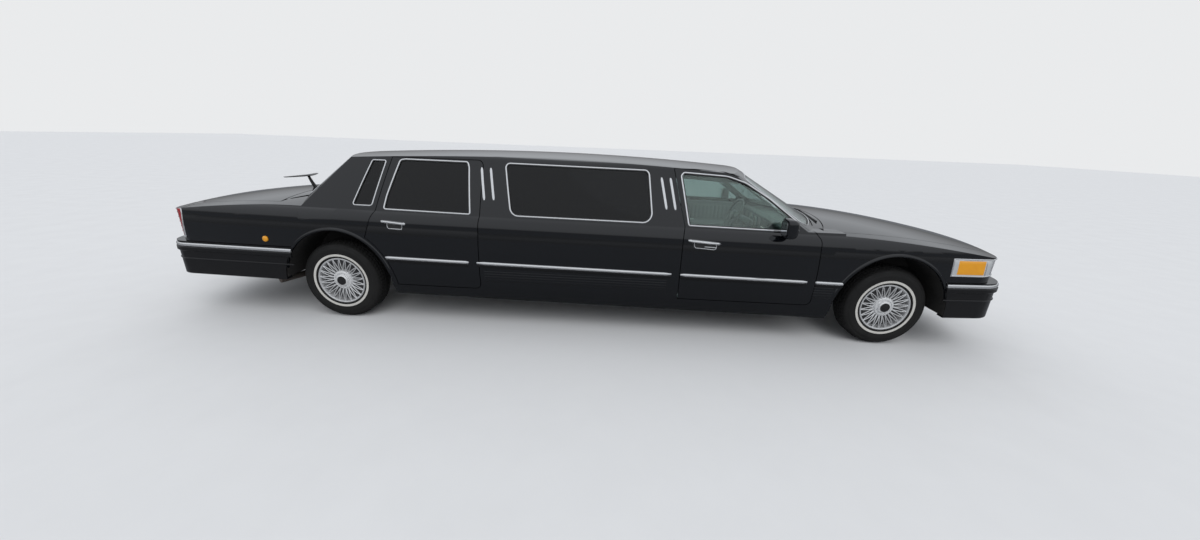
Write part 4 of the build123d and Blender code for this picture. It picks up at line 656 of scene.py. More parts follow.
def dress(name, nodes, material, tolerance):
    """A welded copy of each CAD node, shaded with the exact normals of the body's surfaces.

    A corner takes the normal of the nearest surface within the tolerance that faces as its triangle does.
    """
    for node in nodes:
        source = frame["nodes"][node]
        points = field(source.data.vertices, "co")
        _, first, index = np.unique(np.round(points / WELD).astype(np.int64), axis=0, return_index=True,
                                    return_inverse=True)
        points = points[first]
        source.data.calc_loop_triangles()
        triangles = index.ravel()[field(source.data.loop_triangles, "vertices", np.int32)]
        triangles = triangles[(triangles != np.roll(triangles, 1, 1)).all(1)]
        mesh = bpy.data.meshes.new(f"{name}_{node}")
        mesh.from_pydata(points.tolist(), [], triangles.tolist())
        mesh.update()
        smooth(mesh, PANEL_ANGLE)
        normals = field(mesh.corner_normals, "vector")
        flat = np.repeat(field(mesh.polygons, "normal"), 3, axis=0)
        best = np.full(len(normals), tolerance)
        for gap, candidate in surface_candidates(points[triangles.ravel()]):
            facing = (candidate * flat).sum(1)
            fits = (gap < best) & (np.abs(facing) > 0.94)
            best = np.where(fits, gap, best)
            normals = np.where(fits[:, None], candidate * np.sign(facing)[:, None], normals)
        mesh.normals_split_custom_set(normals.tolist())
        added(f"{name}_{node}", mesh, material, source["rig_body"], node)


# Trim on the sides, from the outlines of the doors and windows


WINDOWS = {
    "door_front": (FRONT_AXLE, [(-1692, 962), (-1766, 1335), (-1745, 1357), (-1395, 1341), (-1249, 1297),
                                (-1060, 1186), (-829, 1014), (-829, 950)], [12, 20, 20, 260, 200, 300, 12, 8]),
    "door_rear": (REAR_AXLE, [(447, 985), (466, 1088), (549, 1366), (590, 1373), (1112, 1371), (1126, 1330),
                              (1160, 974)], [12, 300, 26, 30, 22, 60, 10]),
    "stretch": (REAR_AXLE, [(1500, 976), (1428, 1373), (2600, 1362), (2645, 968)], [70, 30, 40, 70]),
    "quarter": (REAR_AXLE, [(182, 1006), (315, 1358), (428, 1358), (342, 1006)], [14, 18, 10, 20]),
}
WINDOW_BODY = {"door_front": "door_front_{}", "door_rear": "door_rear_{}", "stretch": "chassis",
               "quarter": "chassis"}
SEAL_SECTION = [(-0.004, 0.001), (0.004, 0.001), (0.004, -0.0052), (-0.004, -0.0052)]


def bead(width, height, steps=7, across=0.0, sunk=0.0):
    """Profile of a bead: a half ellipse with a flat foot, moved across and sunk into its surface."""
    angle = np.linspace(0, math.pi, steps)
    return np.stack([width / 2 * np.cos(angle) + across, height * np.sin(angle) - sunk], 1)


def side_path(outline):
    """Points and normals on the right flank under a side-view outline."""
    return side_frame(*np.asarray(outline, float).T)


def window_trims():
    """Bright surround and black rubber seal round every side window, lying on the flank."""
    for window, (axle_x, corners, radii) in WINDOWS.items():
        outline = rounded(np.array(corners) / 1000 + np.array([axle_x, 0.0]), np.array(radii) / 1000, 0.006)
        path, normals = side_path(outline)
        inward = -1.0 if np.cross(outline, np.roll(outline, -1, 0)).sum() > 0 else 1.0
        width = 0.010 if window == "quarter" else 0.012
        surround = bead(width, 0.0042, across=-0.2 * width * inward, sunk=0.0008)
        seal = np.array(SEAL_SECTION) + np.array([0.5 * width * inward, 0.0])
        body = WINDOW_BODY[window]
        both(f"surround_{window}", carried(path, normals, surround, True), CHROME, body)
        both(f"seal_{window}", carried(path, normals, seal, True), TRIM_RUBBER, body)


def bar_run(name, ends, width, height, material, body="chassis", steps=14):
    """Straight bead between two side-view points on the flank, lower at its ends, on both sides of the car."""
    profile = np.tile(bead(width, height), (steps, 1, 1))
    profile[[0, -1]] *= (0.55, 0.35)
    profile[..., 1] -= 0.0008
    both(name, carried(*side_path(np.linspace(*ends, steps)), profile), material, body)


def side_trims():
    """Upright bright bars on the roof pillars, and the long body mouldings with a black lower half."""
    for letter, axle_x, low, high in (
            ("a", REAR_AXLE, (1.273, 1.085), (1.232, 1.334)), ("b", REAR_AXLE, (1.351, 1.088), (1.307, 1.333)),
            ("c", FRONT_AXLE, (-1.878, 1.074), (-1.928, 1.314)), ("d", FRONT_AXLE, (-1.806, 1.073), (-1.856, 1.313))):
        bar_run(f"pillar_bar_{letter}", np.array([low, high]) + (axle_x, 0.0), 0.021, 0.0055, CHROME)
    for name, rear, front, body in (
            ("moulding_door_rear", -4.176, -3.475, "door_rear_{}"), ("moulding_stretch", -3.409, -1.810, "chassis"),
            ("moulding_door_front", -1.737, -0.719, "door_front_{}"), ("moulding_fender", -0.653, -0.431, "chassis")):
        ends = np.array([(FRONT_AXLE + x, 0.5865 - 0.0100 * (x + 4.1)) for x in (rear, front)])
        bar_run(name, ends - (0.0, 0.016), 0.036, 0.010, BUMPER, body, 30)
        bar_run(f"{name}_line", ends + (0.0, 0.006), 0.027, 0.0135, CHROME, body, 30)


def handles():
    """Pull handles: a bright bar over a cup, whose hollow is a flat dark sheet of painted shade, with the lower loop
    of the lift.
    """
    for door, axle_x, bar, loop in (
            ("door_rear", REAR_AXLE, ((0.447, 0.893), (0.650, 0.879)), ((0.520, 0.838), (0.622, 0.836))),
            ("door_front", FRONT_AXLE, ((-1.699, 0.853), (-1.443, 0.836)), ((-1.568, 0.809), (-1.478, 0.806)))):
        bar, loop, body = np.array(bar) + (axle_x, 0.0), np.array(loop) + (axle_x, 0.0), door + "_{}"
        bar_run(f"handle_{door}", bar, 0.026, 0.022, CHROME, body, 20)
        cup = bar[[0, 0, 1, 1]] + [(0.05, -0.055), (0.05, -0.004), (-0.03, -0.002), (-0.03, -0.048)]
        path, normals = side_path(rounded(cup, [0.02, 0.004, 0.004, 0.02]))
        both(f"handle_cup_{door}", carried(path, normals, bead(0.006, 0.0035, 5), True), CHROME, body)
        lift = carried(*side_path(np.linspace(*loop, 12)), bead(0.010, 0.012))
        both(f"handle_lift_{door}", lift, CHROME, body)
        # The cup's hollow is not modelled: a flat dark satin sheet just off the flank stands in for it as painted
        # shade
        rim = path + normals * 0.0008
        step = np.arange(len(rim))
        fan = np.stack([np.zeros_like(step), 1 + step, 1 + np.roll(step, -1)], 1)
        middle = rim.mean(0)
        if np.cross(rim[0] - middle, rim[1] - middle) @ normals[0] < 0:
            fan = fan[:, ::-1]
        both(f"handle_shade_{door}", (np.vstack([middle, rim]), fan), SATIN, body, closed=False)


LIP_PROFILE = [(-0.0125, -0.006), (-0.0125, 0.003), (-0.0105, 0.008), (-0.004, 0.009), (0.008, 0.006),
               (0.014, -0.001)]


def arch_lips():
    """Raised painted lip round each wheel opening."""
    for end, middle_x, low, _ in ARCHES:
        angle = np.linspace(math.radians(low), math.pi - math.radians(low), 72)
        radius = ARCH_RADIUS + 0.013
        path, normals = side_path(
            np.stack([middle_x + radius * np.cos(angle), AXLE_HEIGHT + radius * np.sin(angle)], 1))
        both(f"arch_lip_{end}", carried(path, normals, np.array(LIP_PROFILE)), PAINT)


# Wheels, made about the origin for the right side, with their outer face at negative Y, as (radius, y) pairs

TYRE_WALL = [(0.2040, 0.0880), (0.2070, 0.0975), (0.2120, 0.1015), (0.2150, 0.1035), (0.2370, 0.1055),
             (0.2385, 0.1048), (0.2550, 0.1062), (0.2740, 0.1072), (0.2900, 0.1064), (0.2920, 0.1052),
             (0.3050, 0.1010), (0.3070, 0.1018), (0.3180, 0.0965), (0.3280, 0.0860)]
TREAD_HALF, TREAD_PITCHES = 0.080, 66
SHOULDER, SHOULDER_FALL = 0.050, 0.0105
GROOVE_HALF, GROOVE_DEPTH = 0.0035, 0.0065


def tread_rows():
    """Radii of the tread round the tyre, and the y place of each column.

    Radius = R - fall at the shoulders - depth in the grooves round the tyre and the slanted ones across its blocks.
    """
    turn = full_turn(TREAD_PITCHES * 4)[:, None]
    y = np.linspace(-TREAD_HALF, TREAD_HALF, 41)
    off = np.abs(y)
    fall = SHOULDER_FALL * np.clip((off - SHOULDER) / (TREAD_HALF - SHOULDER), 0, 1) ** 2
    rings = (np.abs(off - 0.016) < GROOVE_HALF) | (np.abs(off - 0.046) < GROOVE_HALF)
    phase = (turn * TREAD_PITCHES / (2 * math.pi) + off * 14.0) % 1.0
    slots = ((phase < 0.24) & (off > 0.020)) * 0.75
    return TYRE_RADIUS - fall - GROOVE_DEPTH * np.maximum(rings, slots), y


def tyre_shape():
    """One closed skin: outer wall, tread and inner wall."""
    tread, y = tread_rows()
    wall = np.array(TYRE_WALL)
    wall_rows = np.tile(wall[:, 0], (len(tread), 1))
    radius = np.concatenate([wall_rows, tread, wall_rows[:, ::-1]], 1)
    return spun(radius, np.concatenate([-wall[:, 1], y, wall[::-1, 1]])), grid_faces(*radius.shape, True, True)


RIM_PROFILE = [(0.2034, -0.0860), (0.2044, -0.0950), (0.2024, -0.1005), (0.1965, -0.1015), (0.1915, -0.0985),
               (0.1890, -0.0910), (0.1860, -0.0800), (0.1820, -0.0500), (0.1760, 0.0000), (0.1800, 0.0600),
               (0.1980, 0.0900), (0.2034, 0.0900)]
HUB_PROFILE = [(0.0, -0.0300), (0.0880, -0.0300), (0.0890, -0.0660), (0.0870, -0.0730), (0.0810, -0.0750),
               (0.0800, -0.0800), (0.0740, -0.0820), (0.0730, -0.0870), (0.0660, -0.0885), (0.0645, -0.0840),
               (0.0520, -0.0840), (0.0510, -0.0900), (0.0490, -0.0975), (0.0450, -0.1010), (0.0405, -0.1025),
               (0.0395, -0.1000), (0.0, -0.1000)]
# Disc behind the lace, coloured dark as painted shade
SHADE_PROFILE = [(0.0880, -0.0420), (0.1810, -0.0440), (0.1810, -0.0400), (0.0880, -0.0380)]
CAP_DISC = [(0.0, -0.1050), (0.0200, -0.1044), (0.0370, -0.1026), (0.0388, -0.1005), (0.0, -0.0995)]
BAND_PROFILE = [(0.2202, -0.1037), (0.2208, -0.1049), (0.2392, -0.1064), (0.2398, -0.1046), (0.2300, -0.1030)]
LACE_PAIRS, LACE_INNER, LACE_OUTER = 22, 0.082, 0.1925
LACE_HALF_WIDTH, LACE_HALF_DEPTH, LACE_BOW = 0.0044, 0.0052, 0.006
NUT_PROFILE = [(0.0042, -0.0830), (0.0042, -0.0870), (0.0028, -0.0885)]
NUTS, NUT_CIRCLE = 8, 0.0582


def lace_shape():
    """Pairs of slim bars from the hub's ring to the lip, each pair opening outwards in a V.

    A bar's middle line runs straight in radius and angle and bows a little outwards:
    y = y0 + (y1 - y0) s - bow sin(pi s). Its section is a six-sided bead.
    """
    share, ring = np.linspace(0, 1, 5), full_turn(6)[:, None] + math.radians(30)
    radius = LACE_INNER + (LACE_OUTER - LACE_INNER) * share
    y = -0.0760 - 0.0150 * share - LACE_BOW * np.sin(math.pi * share)
    width = (LACE_HALF_WIDTH - 0.0008 * share)[:, None, None] * np.cos(ring)
    depth = LACE_HALF_DEPTH * np.sin(ring)
    parts = []
    for pair in range(LACE_PAIRS):
        for side in (-1, 1):
            angle = math.pi / LACE_PAIRS * (2 * pair + side * (0.10 + 0.84 * share))
            line = np.stack([radius * np.cos(angle), y, radius * np.sin(angle)], 1)
            tangent = unit(np.gradient(line, axis=0))
            out = np.cross(tangent, np.cross(np.array([0.0, -1.0, 0.0]), tangent))
            across = np.cross(tangent, out)
            points = line[:, None] + across[:, None] * width + out[:, None] * depth
            parts.append((points, grid_faces(5, 6, False, True)))
    return merged(parts)


def nuts_shape():
    """Eight small studs in the ring between the cap and the hub's step."""
    radius, y = np.array(NUT_PROFILE).T[..., None]
    turn, parts = full_turn(6), []
    for angle in full_turn(NUTS) + math.pi / NUTS:
        points = np.stack([NUT_CIRCLE * math.cos(angle) + radius * np.cos(turn), np.broadcast_to(y, (3, 6)),
                           NUT_CIRCLE * math.sin(angle) + radius * np.sin(turn)], -1)
        parts.append((points, grid_faces(3, 6, False, True).tolist() + [list(range(12, 18))]))
    return merged(parts)


def wheels():
    """Tyre, white band, rim, hub, lace, studs, plain cap and a dark disc of painted shade behind the lace, at all
    four corners.
    """
    for name, (points, faces), material, slot, node in (
            ("tread", tyre_shape(), RUBBER, "tyre", "tyre"),
            ("white_band", lathe(BAND_PROFILE, 160, True), WHITE_RUBBER, "tyre", None),
            ("rim_ring", lathe(RIM_PROFILE, 120, True), BRUSHED, "alloy", "rim"),
            ("hub", lathe(HUB_PROFILE), POLISHED, "alloy", None),
            ("lace", lace_shape(), BRUSHED, "alloy", None), ("nuts", nuts_shape(), CHROME, "alloy", None),
            ("shade", lathe(SHADE_PROFILE, 72, True), PAINTED_SHADE_METAL, "alloy", None),
            ("cap_disc", lathe(CAP_DISC, 48), SATIN, "alloy", None)):
        for end, axle_x, track in (("front", FRONT_AXLE, FRONT_TRACK_HALF), ("rear", REAR_AXLE, REAR_TRACK_HALF)):
            both(f"{name}_{end}", (points + np.array([axle_x, -track, AXLE_HEIGHT]), faces), material,
                 f"wheel_{end}_{{}}", node and f"{node}_{end}_{{}}")


# Ends of the car

def plan_path(end_sign, reach, back_x, z):
    """Path in plan from the middle of an end round its corner and back along the right side, with normals."""
    start, radius, bow, corner = END_PLANS[end_sign]
    end = HALF_LENGTH - BUMPER_REACH
    tangent_x = end_sign * (end - corner)
    run = abs(tangent_x - start)
    drop = math.sqrt(radius**2 - run**2)
    tangent_y, slope = HALF_WIDTH - radius + drop + PLAN_MARGIN, run / drop

    def end_x(y):
        return end_sign * (end + reach - bow + np.sqrt(bow**2 - y**2))

    def side_y(x):
        return tangent_y - slope * end_sign * (x - end_sign * reach - tangent_x)

    corner_y = 0.9
    for _ in range(8):
        corner_x = end_x(corner_y)
        corner_y = side_y(corner_x)
    x, y = np.linspace(corner_x, back_x, 30), np.linspace(0, corner_y, 30)
    front, sides = np.stack([end_x(y), -y], 1), np.stack([x, -side_y(x)], 1)
    here = np.array([corner_x, -corner_y])
    arc, cut = corner_arc(front[-2], here, sides[1], corner)
    front, sides = (line[np.linalg.norm(line - here, axis=1) > cut] for line in (front, sides))
    line = np.concatenate([front, arc, sides])
    tangent = np.gradient(line, axis=0)
    normal = unit(np.stack([tangent[:, 1], -tangent[:, 0]], 1))
    normal *= np.where((normal * line).sum(1, keepdims=True) < 0, -1.0, 1.0)
    level = np.zeros(len(line))
    return np.column_stack([line, level + z]), np.column_stack([normal, level])


# Room that the bumper skins leave inside the solid's ends
STRIP_ROOM = 0.0012
# Strips round the bumpers as (height, out) pairs, from each bumper's own line
BUMPER_STRIPS = (
    ("bright", [(-0.004, -0.002), (-0.004, 0.004), (0.0, 0.0075), (0.010, 0.0080), (0.019, 0.0065),
                (0.024, 0.003), (0.024, -0.002)], CHROME, "bright"),
    ("rub", [(-0.046, -0.002), (-0.046, 0.006), (-0.040, 0.0115), (-0.012, 0.0115), (-0.005, 0.006),
             (-0.005, -0.002)], BUMPER, "bumper"),
    ("step", [(-0.118, -0.003), (-0.118, 0.002), (-0.112, 0.005), (-0.106, 0.002), (-0.106, -0.003)], BUMPER,
     "bumper"))


def whole_band(name, end_sign, back_x, profile, material):
    """Profile of (height, out) pairs carried round an end from one side of the car to the other."""
    path, normals = (np.concatenate([line[:0:-1] * MIRROR, line])
                     for line in plan_path(end_sign, BUMPER_REACH, back_x, 0.0))
    points = path[:, None] + normals[:, None] * profile[:, 1:] + np.array([0.0, 0.0, 1.0]) * profile[:, :1]
    points[..., 0] = np.clip(points[..., 0], cad_box[0][0], cad_box[1][0])
    piece(name, (points.reshape(-1, 3), tube_faces(*points.shape[:2])), material)


def bumpers():
    """Bumper skins a hair inside the solid's ends, with a bright strip, a rub strip and a step line round each."""
    dress("shell", ("front_bumper", "rear_bumper"), BUMPER, PANEL_GAP)
    for end, sign, back_x, z in (("front", 1, FRONT_AXLE + 0.392, 0.566), ("rear", -1, REAR_AXLE - 0.345, 0.600)):
        mesh = bpy.data.objects[f"shell_{end}_bumper"].data
        points = field(mesh.vertices, "co")
        points[:, 0] = np.clip(points[:, 0], cad_box[0][0] + STRIP_ROOM, cad_box[1][0] - STRIP_ROOM)
        mesh.vertices.foreach_set("co", points.ravel())
        mesh.update()
        for part, profile, material, slot in BUMPER_STRIPS:
            whole_band(f"bumper_{part}_{end}", sign, back_x, np.array(profile) + (z, 0.0), material)


# Lamps, mirrors, aerial and screens

def cut_copy(name, way, material, instead=None):
    """Closed part of the tail lamps, behind the lens's forward end (way 1) or ahead of it (way -1)."""
    mesh = bmesh.new()
    mesh.from_mesh(frame["nodes"]["tail_lamps"].data)
    bmesh.ops.remove_doubles(mesh, verts=mesh.verts, dist=WELD)
    bmesh.ops.bisect_plane(mesh, geom=mesh.verts[:] + mesh.edges[:] + mesh.faces[:],
                           plane_co=(TAIL_LENS_END, 0, 0), plane_no=(way, 0, 0), clear_outer=True)
    bmesh.ops.holes_fill(mesh, edges=[edge for edge in mesh.edges if edge.is_boundary], sides=0)
    bmesh.ops.recalc_face_normals(mesh, faces=mesh.faces)
    data = bpy.data.meshes.new(name)
    mesh.to_mesh(data)
    mesh.free()
    smooth(data)
    added(name, data, material, "chassis", instead)


def end_line(end_sign, x_back, y_inner, z):
    """Path on an end's own surface at height z, from y_inner round the corner and back to x_back, with normals.

    The plan's line is kept wherever it lies inside the flank, and the flank's own line takes over outside it.
    """
    path, normals = plan_path(end_sign, 0.0, x_back - 0.4 * end_sign, z)
    flank, flank_normals = side_frame(path[:, 0], path[:, 2])
    outside = path[:, 1:2] < flank[:, 1:2]
    path, normals = np.where(outside, flank, path), np.where(outside, flank_normals, normals)
    past = end_sign * (path[:, 0] - x_back)
    last = int(np.argmax(past < 0))
    share = past[last - 1] / (past[last - 1] - past[last])
    for line in (path, normals):
        line[last] = line[last - 1] + share * (line[last] - line[last - 1])
    normals[last] = unit(normals[last])
    kept = path[:last + 1, 1] < -y_inner
    path, normals = path[:last + 1][kept], normals[:last + 1][kept]
    top = top_height(HOOD_TOP if end_sign > 0 else DECK_TOP, path[:, 0], path[:, 1])
    path[:, 2] = np.minimum(path[:, 2], top - 0.0045)
    for _ in range(3):
        normals[1:-1] = (normals[:-2] + normals[1:-1] + normals[2:]) / 3
    return path, unit(normals)


def flank_panel(span, low, high, out):
    """Thin block lying on the right flank between two x and two heights, its edges rounded off."""
    s, t = unit_grid(24, 10)
    x, z = span[0] + (span[1] - span[0]) * s, low + (high - low) * t
    points, normals = side_frame(x, z)
    edge = np.minimum(np.minimum(x - span[0], span[1] - x), np.minimum(z - low, high - z))
    rise = out * rounded_edge(edge, 0.006) + 0.0003
    return closed_sheet(points + normals * rise[..., None], points - normals * 0.002)


def splash_shields():
    """Inner linings that carry the wheel arches on down towards the bumpers, on the arch's own cylinder."""
    s, t = unit_grid(16, 12)
    for (end, middle_x, _, low), way in zip(ARCHES, (1, -1)):
        angle = np.radians(LINING_TOP + (low - LINING_TOP) * s)
        walls = [np.stack([middle_x + way * radius * np.cos(angle), -0.948 + 0.300 * t,
                           AXLE_HEIGHT + radius * np.sin(angle)], -1)
                 for radius in (ARCH_RADIUS + 0.004, ARCH_RADIUS + 0.009)]
        both(f"splash_shield_{end}", closed_sheet(*walls), UNDERBODY)


def lamp_frame(name, end_sign, x_back, y_inner, low, high):
    """Bright bead round a lamp: along its top, down, and back along its foot."""
    top, foot = (end_line(end_sign, x_back, y_inner, z) for z in (high, low))
    side = side_frame(np.full(9, x_back), np.linspace(top[0][-1, 2] - 0.006, foot[0][-1, 2] + 0.006, 9))
    path, normals = (np.concatenate([top[i], side[i], foot[i][::-1]]) for i in (0, 1))
    both(name, carried(path, normals, bead(0.011, 0.0050, sunk=0.0010), True), CHROME)


def tail_cap():
    """Painted closed sheet on top of the tail lamp, following the deck out to the lamp's edge."""
    edge, _ = end_line(-1, TAIL_LENS_END, 0.622, TAIL_CAP_Z)
    middle = np.array([TAIL_LENS_END, -0.622])
    plan = middle + (edge[:, None, :2] - middle) * np.linspace(0.02, 1.0, 8)[None, :, None]
    height = np.minimum(top_height(DECK_TOP, plan[..., 0], plan[..., 1]), TAIL_CAP_Z)[..., None]
    return closed_sheet(*(np.concatenate([plan, height + step], -1) for step in (0.0008, -0.0030)))


def side_marker():
    """Round lamp on the flank behind each rear wheel: rings of falling radius, standing out further each."""
    rings = []
    for radius, out in ((0.024, -0.001), (0.024, 0.006), (0.020, 0.010), (0.012, 0.0125), (0.004, 0.0130)):
        path, normals = side_path(np.array([REAR_AXLE - 0.560, 0.700]) + radius * circle(40))
        rings.append(path + normals * out)
    return np.concatenate(rings), tube_faces(len(rings), 40)


def lamps():
    """Headlamps with an amber rear part, red tail lamps with their painted forward part, and bright frames."""
    dress("lens", ("headlamps",), FLUTED, PANEL_GAP)
    both("headlamp_amber", flank_panel(AMBER_BLOCK, 0.672, 0.783, 0.0022), AMBER)
    cut_copy("tail_lens", 1, RED_LENS, "tail_lamps")
    cut_copy("tail_panel", -1, PAINT)
    both("tail_cap", tail_cap(), PAINT)
    lamp_frame("headlamp_frame", 1, FRONT_AXLE + 0.405, 0.446, 0.6595, 0.7955)
    lamp_frame("tail_frame", -1, TAIL_LENS_END + 0.004, 0.626, 0.6725, 0.9235)
    divider_x = AMBER_BLOCK[1] + 0.012
    bar_run("lamp_divider", ((divider_x, 0.664), (divider_x, 0.791)), 0.007, 0.0035, CHROME, steps=10)
    both("side_marker", side_marker(), AMBER)
    ribs = [carried(*end_line(-1, TAIL_LENS_END - 0.008, 0.634, z), bead(0.006, 0.0028, 5, sunk=0.0006))
            for z in (0.720, 0.760, 0.800, 0.840, 0.880)]
    both("tail_ribs", merged(ribs), RED_LENS)


def mirrors():
    """Door mirrors: rounded shell, short arm and the glass in its rim."""
    shell, shell_faces = pillow_shape((0.0470, 0.0795, 0.0745), 0.42)
    shell[:, 1:] *= 1.0 - 0.22 * np.clip(shell[:, :1] / 0.047, 0, 1) ** 1.5
    arm, arm_faces = pillow_shape((0.038, 0.042, 0.0118), 0.4)
    housing = merged([(shell + (1.622, -1.005, 0.995), shell_faces), (arm + (1.652, -0.919, 0.938), arm_faces)])
    both("mirror_shell", housing, PAINT, "door_front_{}", "mirror_{}")
    for name, room, depth, material in (
            ("mirror_rim", 0.0, 0.0022, TRIM_RUBBER), ("mirror_glass", 0.006, 0.0030, MIRROR_GLASS)):
        pane = plate(-1.066 + room, -0.944 - room, 0.937 + room, 1.053 - room, depth, 0.030 - room, 1.5772)
        both(name, pane, material, "door_front_{}")


def aerial():
    """Swept wing, thinning towards its tips, on a curved post: x = x0 - 0.07 |s|^1.4 with an oval section."""
    share = np.linspace(-1, 1, 41)[:, None]
    reach = np.abs(share)
    cos, sin = circle(16).T
    chord, thick = 0.038 * (1 - 0.55 * reach**1.5), 0.0080 * (1 - 0.5 * reach**2)
    x = -2.888 - 0.070 * reach**1.4 + chord * cos
    z = 1.1255 - 0.002 * reach + thick * sin
    wing = (np.stack([x, np.broadcast_to(0.215 * share, x.shape), z], -1), tube_faces(41, 16))
    rise = np.linspace(0, 1, 15)
    path = np.stack([-2.822 - 0.066 * rise**0.8, np.zeros(15), 1.000 + 0.122 * rise**1.15], 1)
    size = (0.016 - 0.007 * rise)[:, None, None]
    post = (path[:, None] + size * np.stack([1.5 * cos, 0.6 * sin, 0.2 * cos], 1), tube_faces(15, 16))
    piece("boomerang", merged([wing, post]), SATIN, "trunk_lid", "aerial")


def screen_trims():
    """Rubber seal with a bright line round the windscreen and the rear window, its corners cut round twice."""
    y, rise = np.linspace(-1, 1, 31)[1:-1], np.linspace(0, 1, 13)[1:-1]
    for name, line, (low_mid, low_edge, high_mid, high_edge, low_half, high_half) in (
            ("windscreen", WINDSCREEN, (-0.325, -0.130, 0.395, 0.470, 0.790, 0.632)),
            ("rear_window", BACKLIGHT, (-0.250, -0.144, 0.265, 0.335, 0.670, 0.575))):
        low = np.stack([low_half * y, low_mid + (low_edge - low_mid) * y**2], 1)
        high = np.stack([high_half * y[::-1], high_mid + (high_edge - high_mid) * y**2], 1)
        right = np.stack([low_half + (high_half - low_half) * rise, low_edge + (high_edge - low_edge) * rise], 1)
        outline = np.concatenate([low, right, high, right[::-1] * np.array([-1, 1])])
        for _ in range(2):
            following = np.roll(outline, -1, 0)
            outline = np.stack([0.75 * outline + 0.25 * following, 0.25 * outline + 0.75 * following], 1)
            outline = outline.reshape(-1, 2)
        path, normals = screen_frame(line, outline[:, 1], outline[:, 0])
        for part, profile, material, slot in (
                ("rubber", bead(0.020, 0.0045, sunk=0.0045), TRIM_RUBBER, "mirror_shell"),
                ("bright", bead(0.008, 0.0075, across=0.007, sunk=0.0045), CHROME, "bright")):
            piece(f"{name}_{part}", carried(path, normals, profile, True), material)


def lower_ribs():
    """Fine ribs along the lower body, behind each front wheel and between the doors."""
    ribs = [carried(*side_path(np.linspace((x0, z), (x1, z), 24)), bead(0.0075, 0.0030, 5, sunk=0.0006))
            for z in np.linspace(0.425, 0.515, 5)
            for x0, x1 in ((FRONT_AXLE - 0.655, FRONT_AXLE - 0.500), (REAR_AXLE + 1.280, REAR_AXLE + 2.790))]
    both("lower_ribs", merged(ribs), PAINT)


# Cabin

BACK_LEAN = math.radians(14)
CABIN_HALF = 0.835
FLOOR_TOP = 0.332
FRONT_SEAT_X, FRONT_SEAT_Y, SIDE_SEAT_X = 1.207, 0.380, 0.0105
SEAM_DEPTH, SEAM_HALF = 0.007, 0.0055


def pillow_shape(half, power, rows=33, columns=64):
    """Closed rounded block: each coordinate is a sine or cosine drawn towards its ends by a power."""
    def drawn(value):
        return np.sign(value) * np.abs(value) ** power

    rise = np.linspace(-math.pi / 2, math.pi / 2, rows)[1:-1, None]
    cos, sin = circle(columns).T
    ring = drawn(np.cos(rise))
    points = np.stack([half[0] * ring * drawn(cos), half[1] * ring * drawn(sin),
                       np.broadcast_to(half[2] * drawn(np.sin(rise)), (len(rise), columns))], -1).reshape(-1, 3)
    count = len(points)
    step = np.arange(columns)
    following, last = np.roll(step, -1), count - columns
    faces = grid_faces(len(rise), columns, False, True).tolist()
    faces += np.stack([following, step, np.full(columns, count)], 1).tolist()
    faces += np.stack([last + step, last + following, np.full(columns, count + 1)], 1).tolist()
    return np.concatenate([points, [[0, 0, -half[2]], [0, 0, half[2]]]]), faces


def applied(obj):
    """The object's mesh with its modifiers applied."""
    graph = bpy.context.evaluated_depsgraph_get()
    return bpy.data.meshes.new_from_object(obj.evaluated_get(graph))


def stuffed(name, half, channels, voxel=0.013, cap=0.022):
    """A stuffed pad about its own centre: a rounded block swollen as cloth under pressure, then sewn in channels.

    Channels is (axis across them, axis they show on, count): each seam sinks by a narrow bell of its distance.
    """
    half = np.array(half)
    mesh = bpy.data.meshes.new("pad")
    points, faces = pillow_shape(half - 0.012, 0.28)
    mesh.from_pydata(points.tolist(), [], faces)
    pad = bpy.data.objects.new("pad_" + name, mesh)
    bpy.context.scene.collection.objects.link(pad)
    remesh = pad.modifiers.new("remesh", "REMESH")
    remesh.mode = "VOXEL"
    remesh.voxel_size = voxel
    pad.data = applied(pad)
    pad.modifiers.clear()
    start = field(pad.data.vertices, "co")
    cloth = pad.modifiers.new("cloth", "CLOTH")
    cloth.settings.quality = 4
    cloth.settings.use_pressure = True
    cloth.settings.uniform_pressure_force = 4.0
    cloth.settings.effector_weights.gravity = 0.0
    for step in range(1, 21):
        bpy.context.scene.frame_set(step)
    move = field(applied(pad).vertices, "co") - start
    bpy.context.scene.frame_set(1)
    pad.modifiers.clear()
    move *= np.minimum(1.0, cap / np.maximum(np.linalg.norm(move, axis=1, keepdims=True), 1e-9))
    pad.data.vertices.foreach_set("co", np.clip(start + move, -half - 0.004, half + 0.004).ravel())
    fine = pad.modifiers.new("fine", "SUBSURF")
    fine.levels = fine.render_levels = 1
    swollen = applied(pad)
    points, normals = field(swollen.vertices, "co"), field(swollen.vertex_normals, "vector")
    bpy.data.objects.remove(pad)
    across, shown, count = channels
    other = 3 - across - shown
    pitch = 2 * half[across] * 0.86 / count
    seam = np.abs((points[:, across] / pitch + (count % 2) / 2 + 0.5) % 1.0 - 0.5) * pitch
    share = np.abs(points) / half
    ends = np.clip((0.88 - share[:, other]) / 0.08, 0, 1)
    front = np.clip(points[:, shown] / half[shown] * 2.0, 0, 1) * (share[:, across] < 0.90) * ends
    border = np.maximum(share[:, across], share[:, other])
    rim = np.exp(-((border - 0.885) / 0.020) ** 2) * (points[:, shown] > 0)
    sink = SEAM_DEPTH * np.exp(-((seam / SEAM_HALF) ** 2)) * front + 0.004 * rim
    swell = 0.003 * front * np.cos(math.pi * seam / pitch) ** 2
    return points + normals * (swell - sink)[:, None], [list(face.vertices) for face in swollen.polygons]


def placed(points, origin, lean=0.0, turn=0.0):
    """Points leaned back about the Y axis, turned about the Z axis, and moved."""
    c, s = math.cos(lean), math.sin(lean)
    points = points @ np.array([[c, 0, s], [0, 1, 0], [-s, 0, c]])
    c, s = math.cos(turn), math.sin(turn)
    return points @ np.array([[c, s, 0], [-s, c, 0], [0, 0, 1]]) + np.asarray(origin)


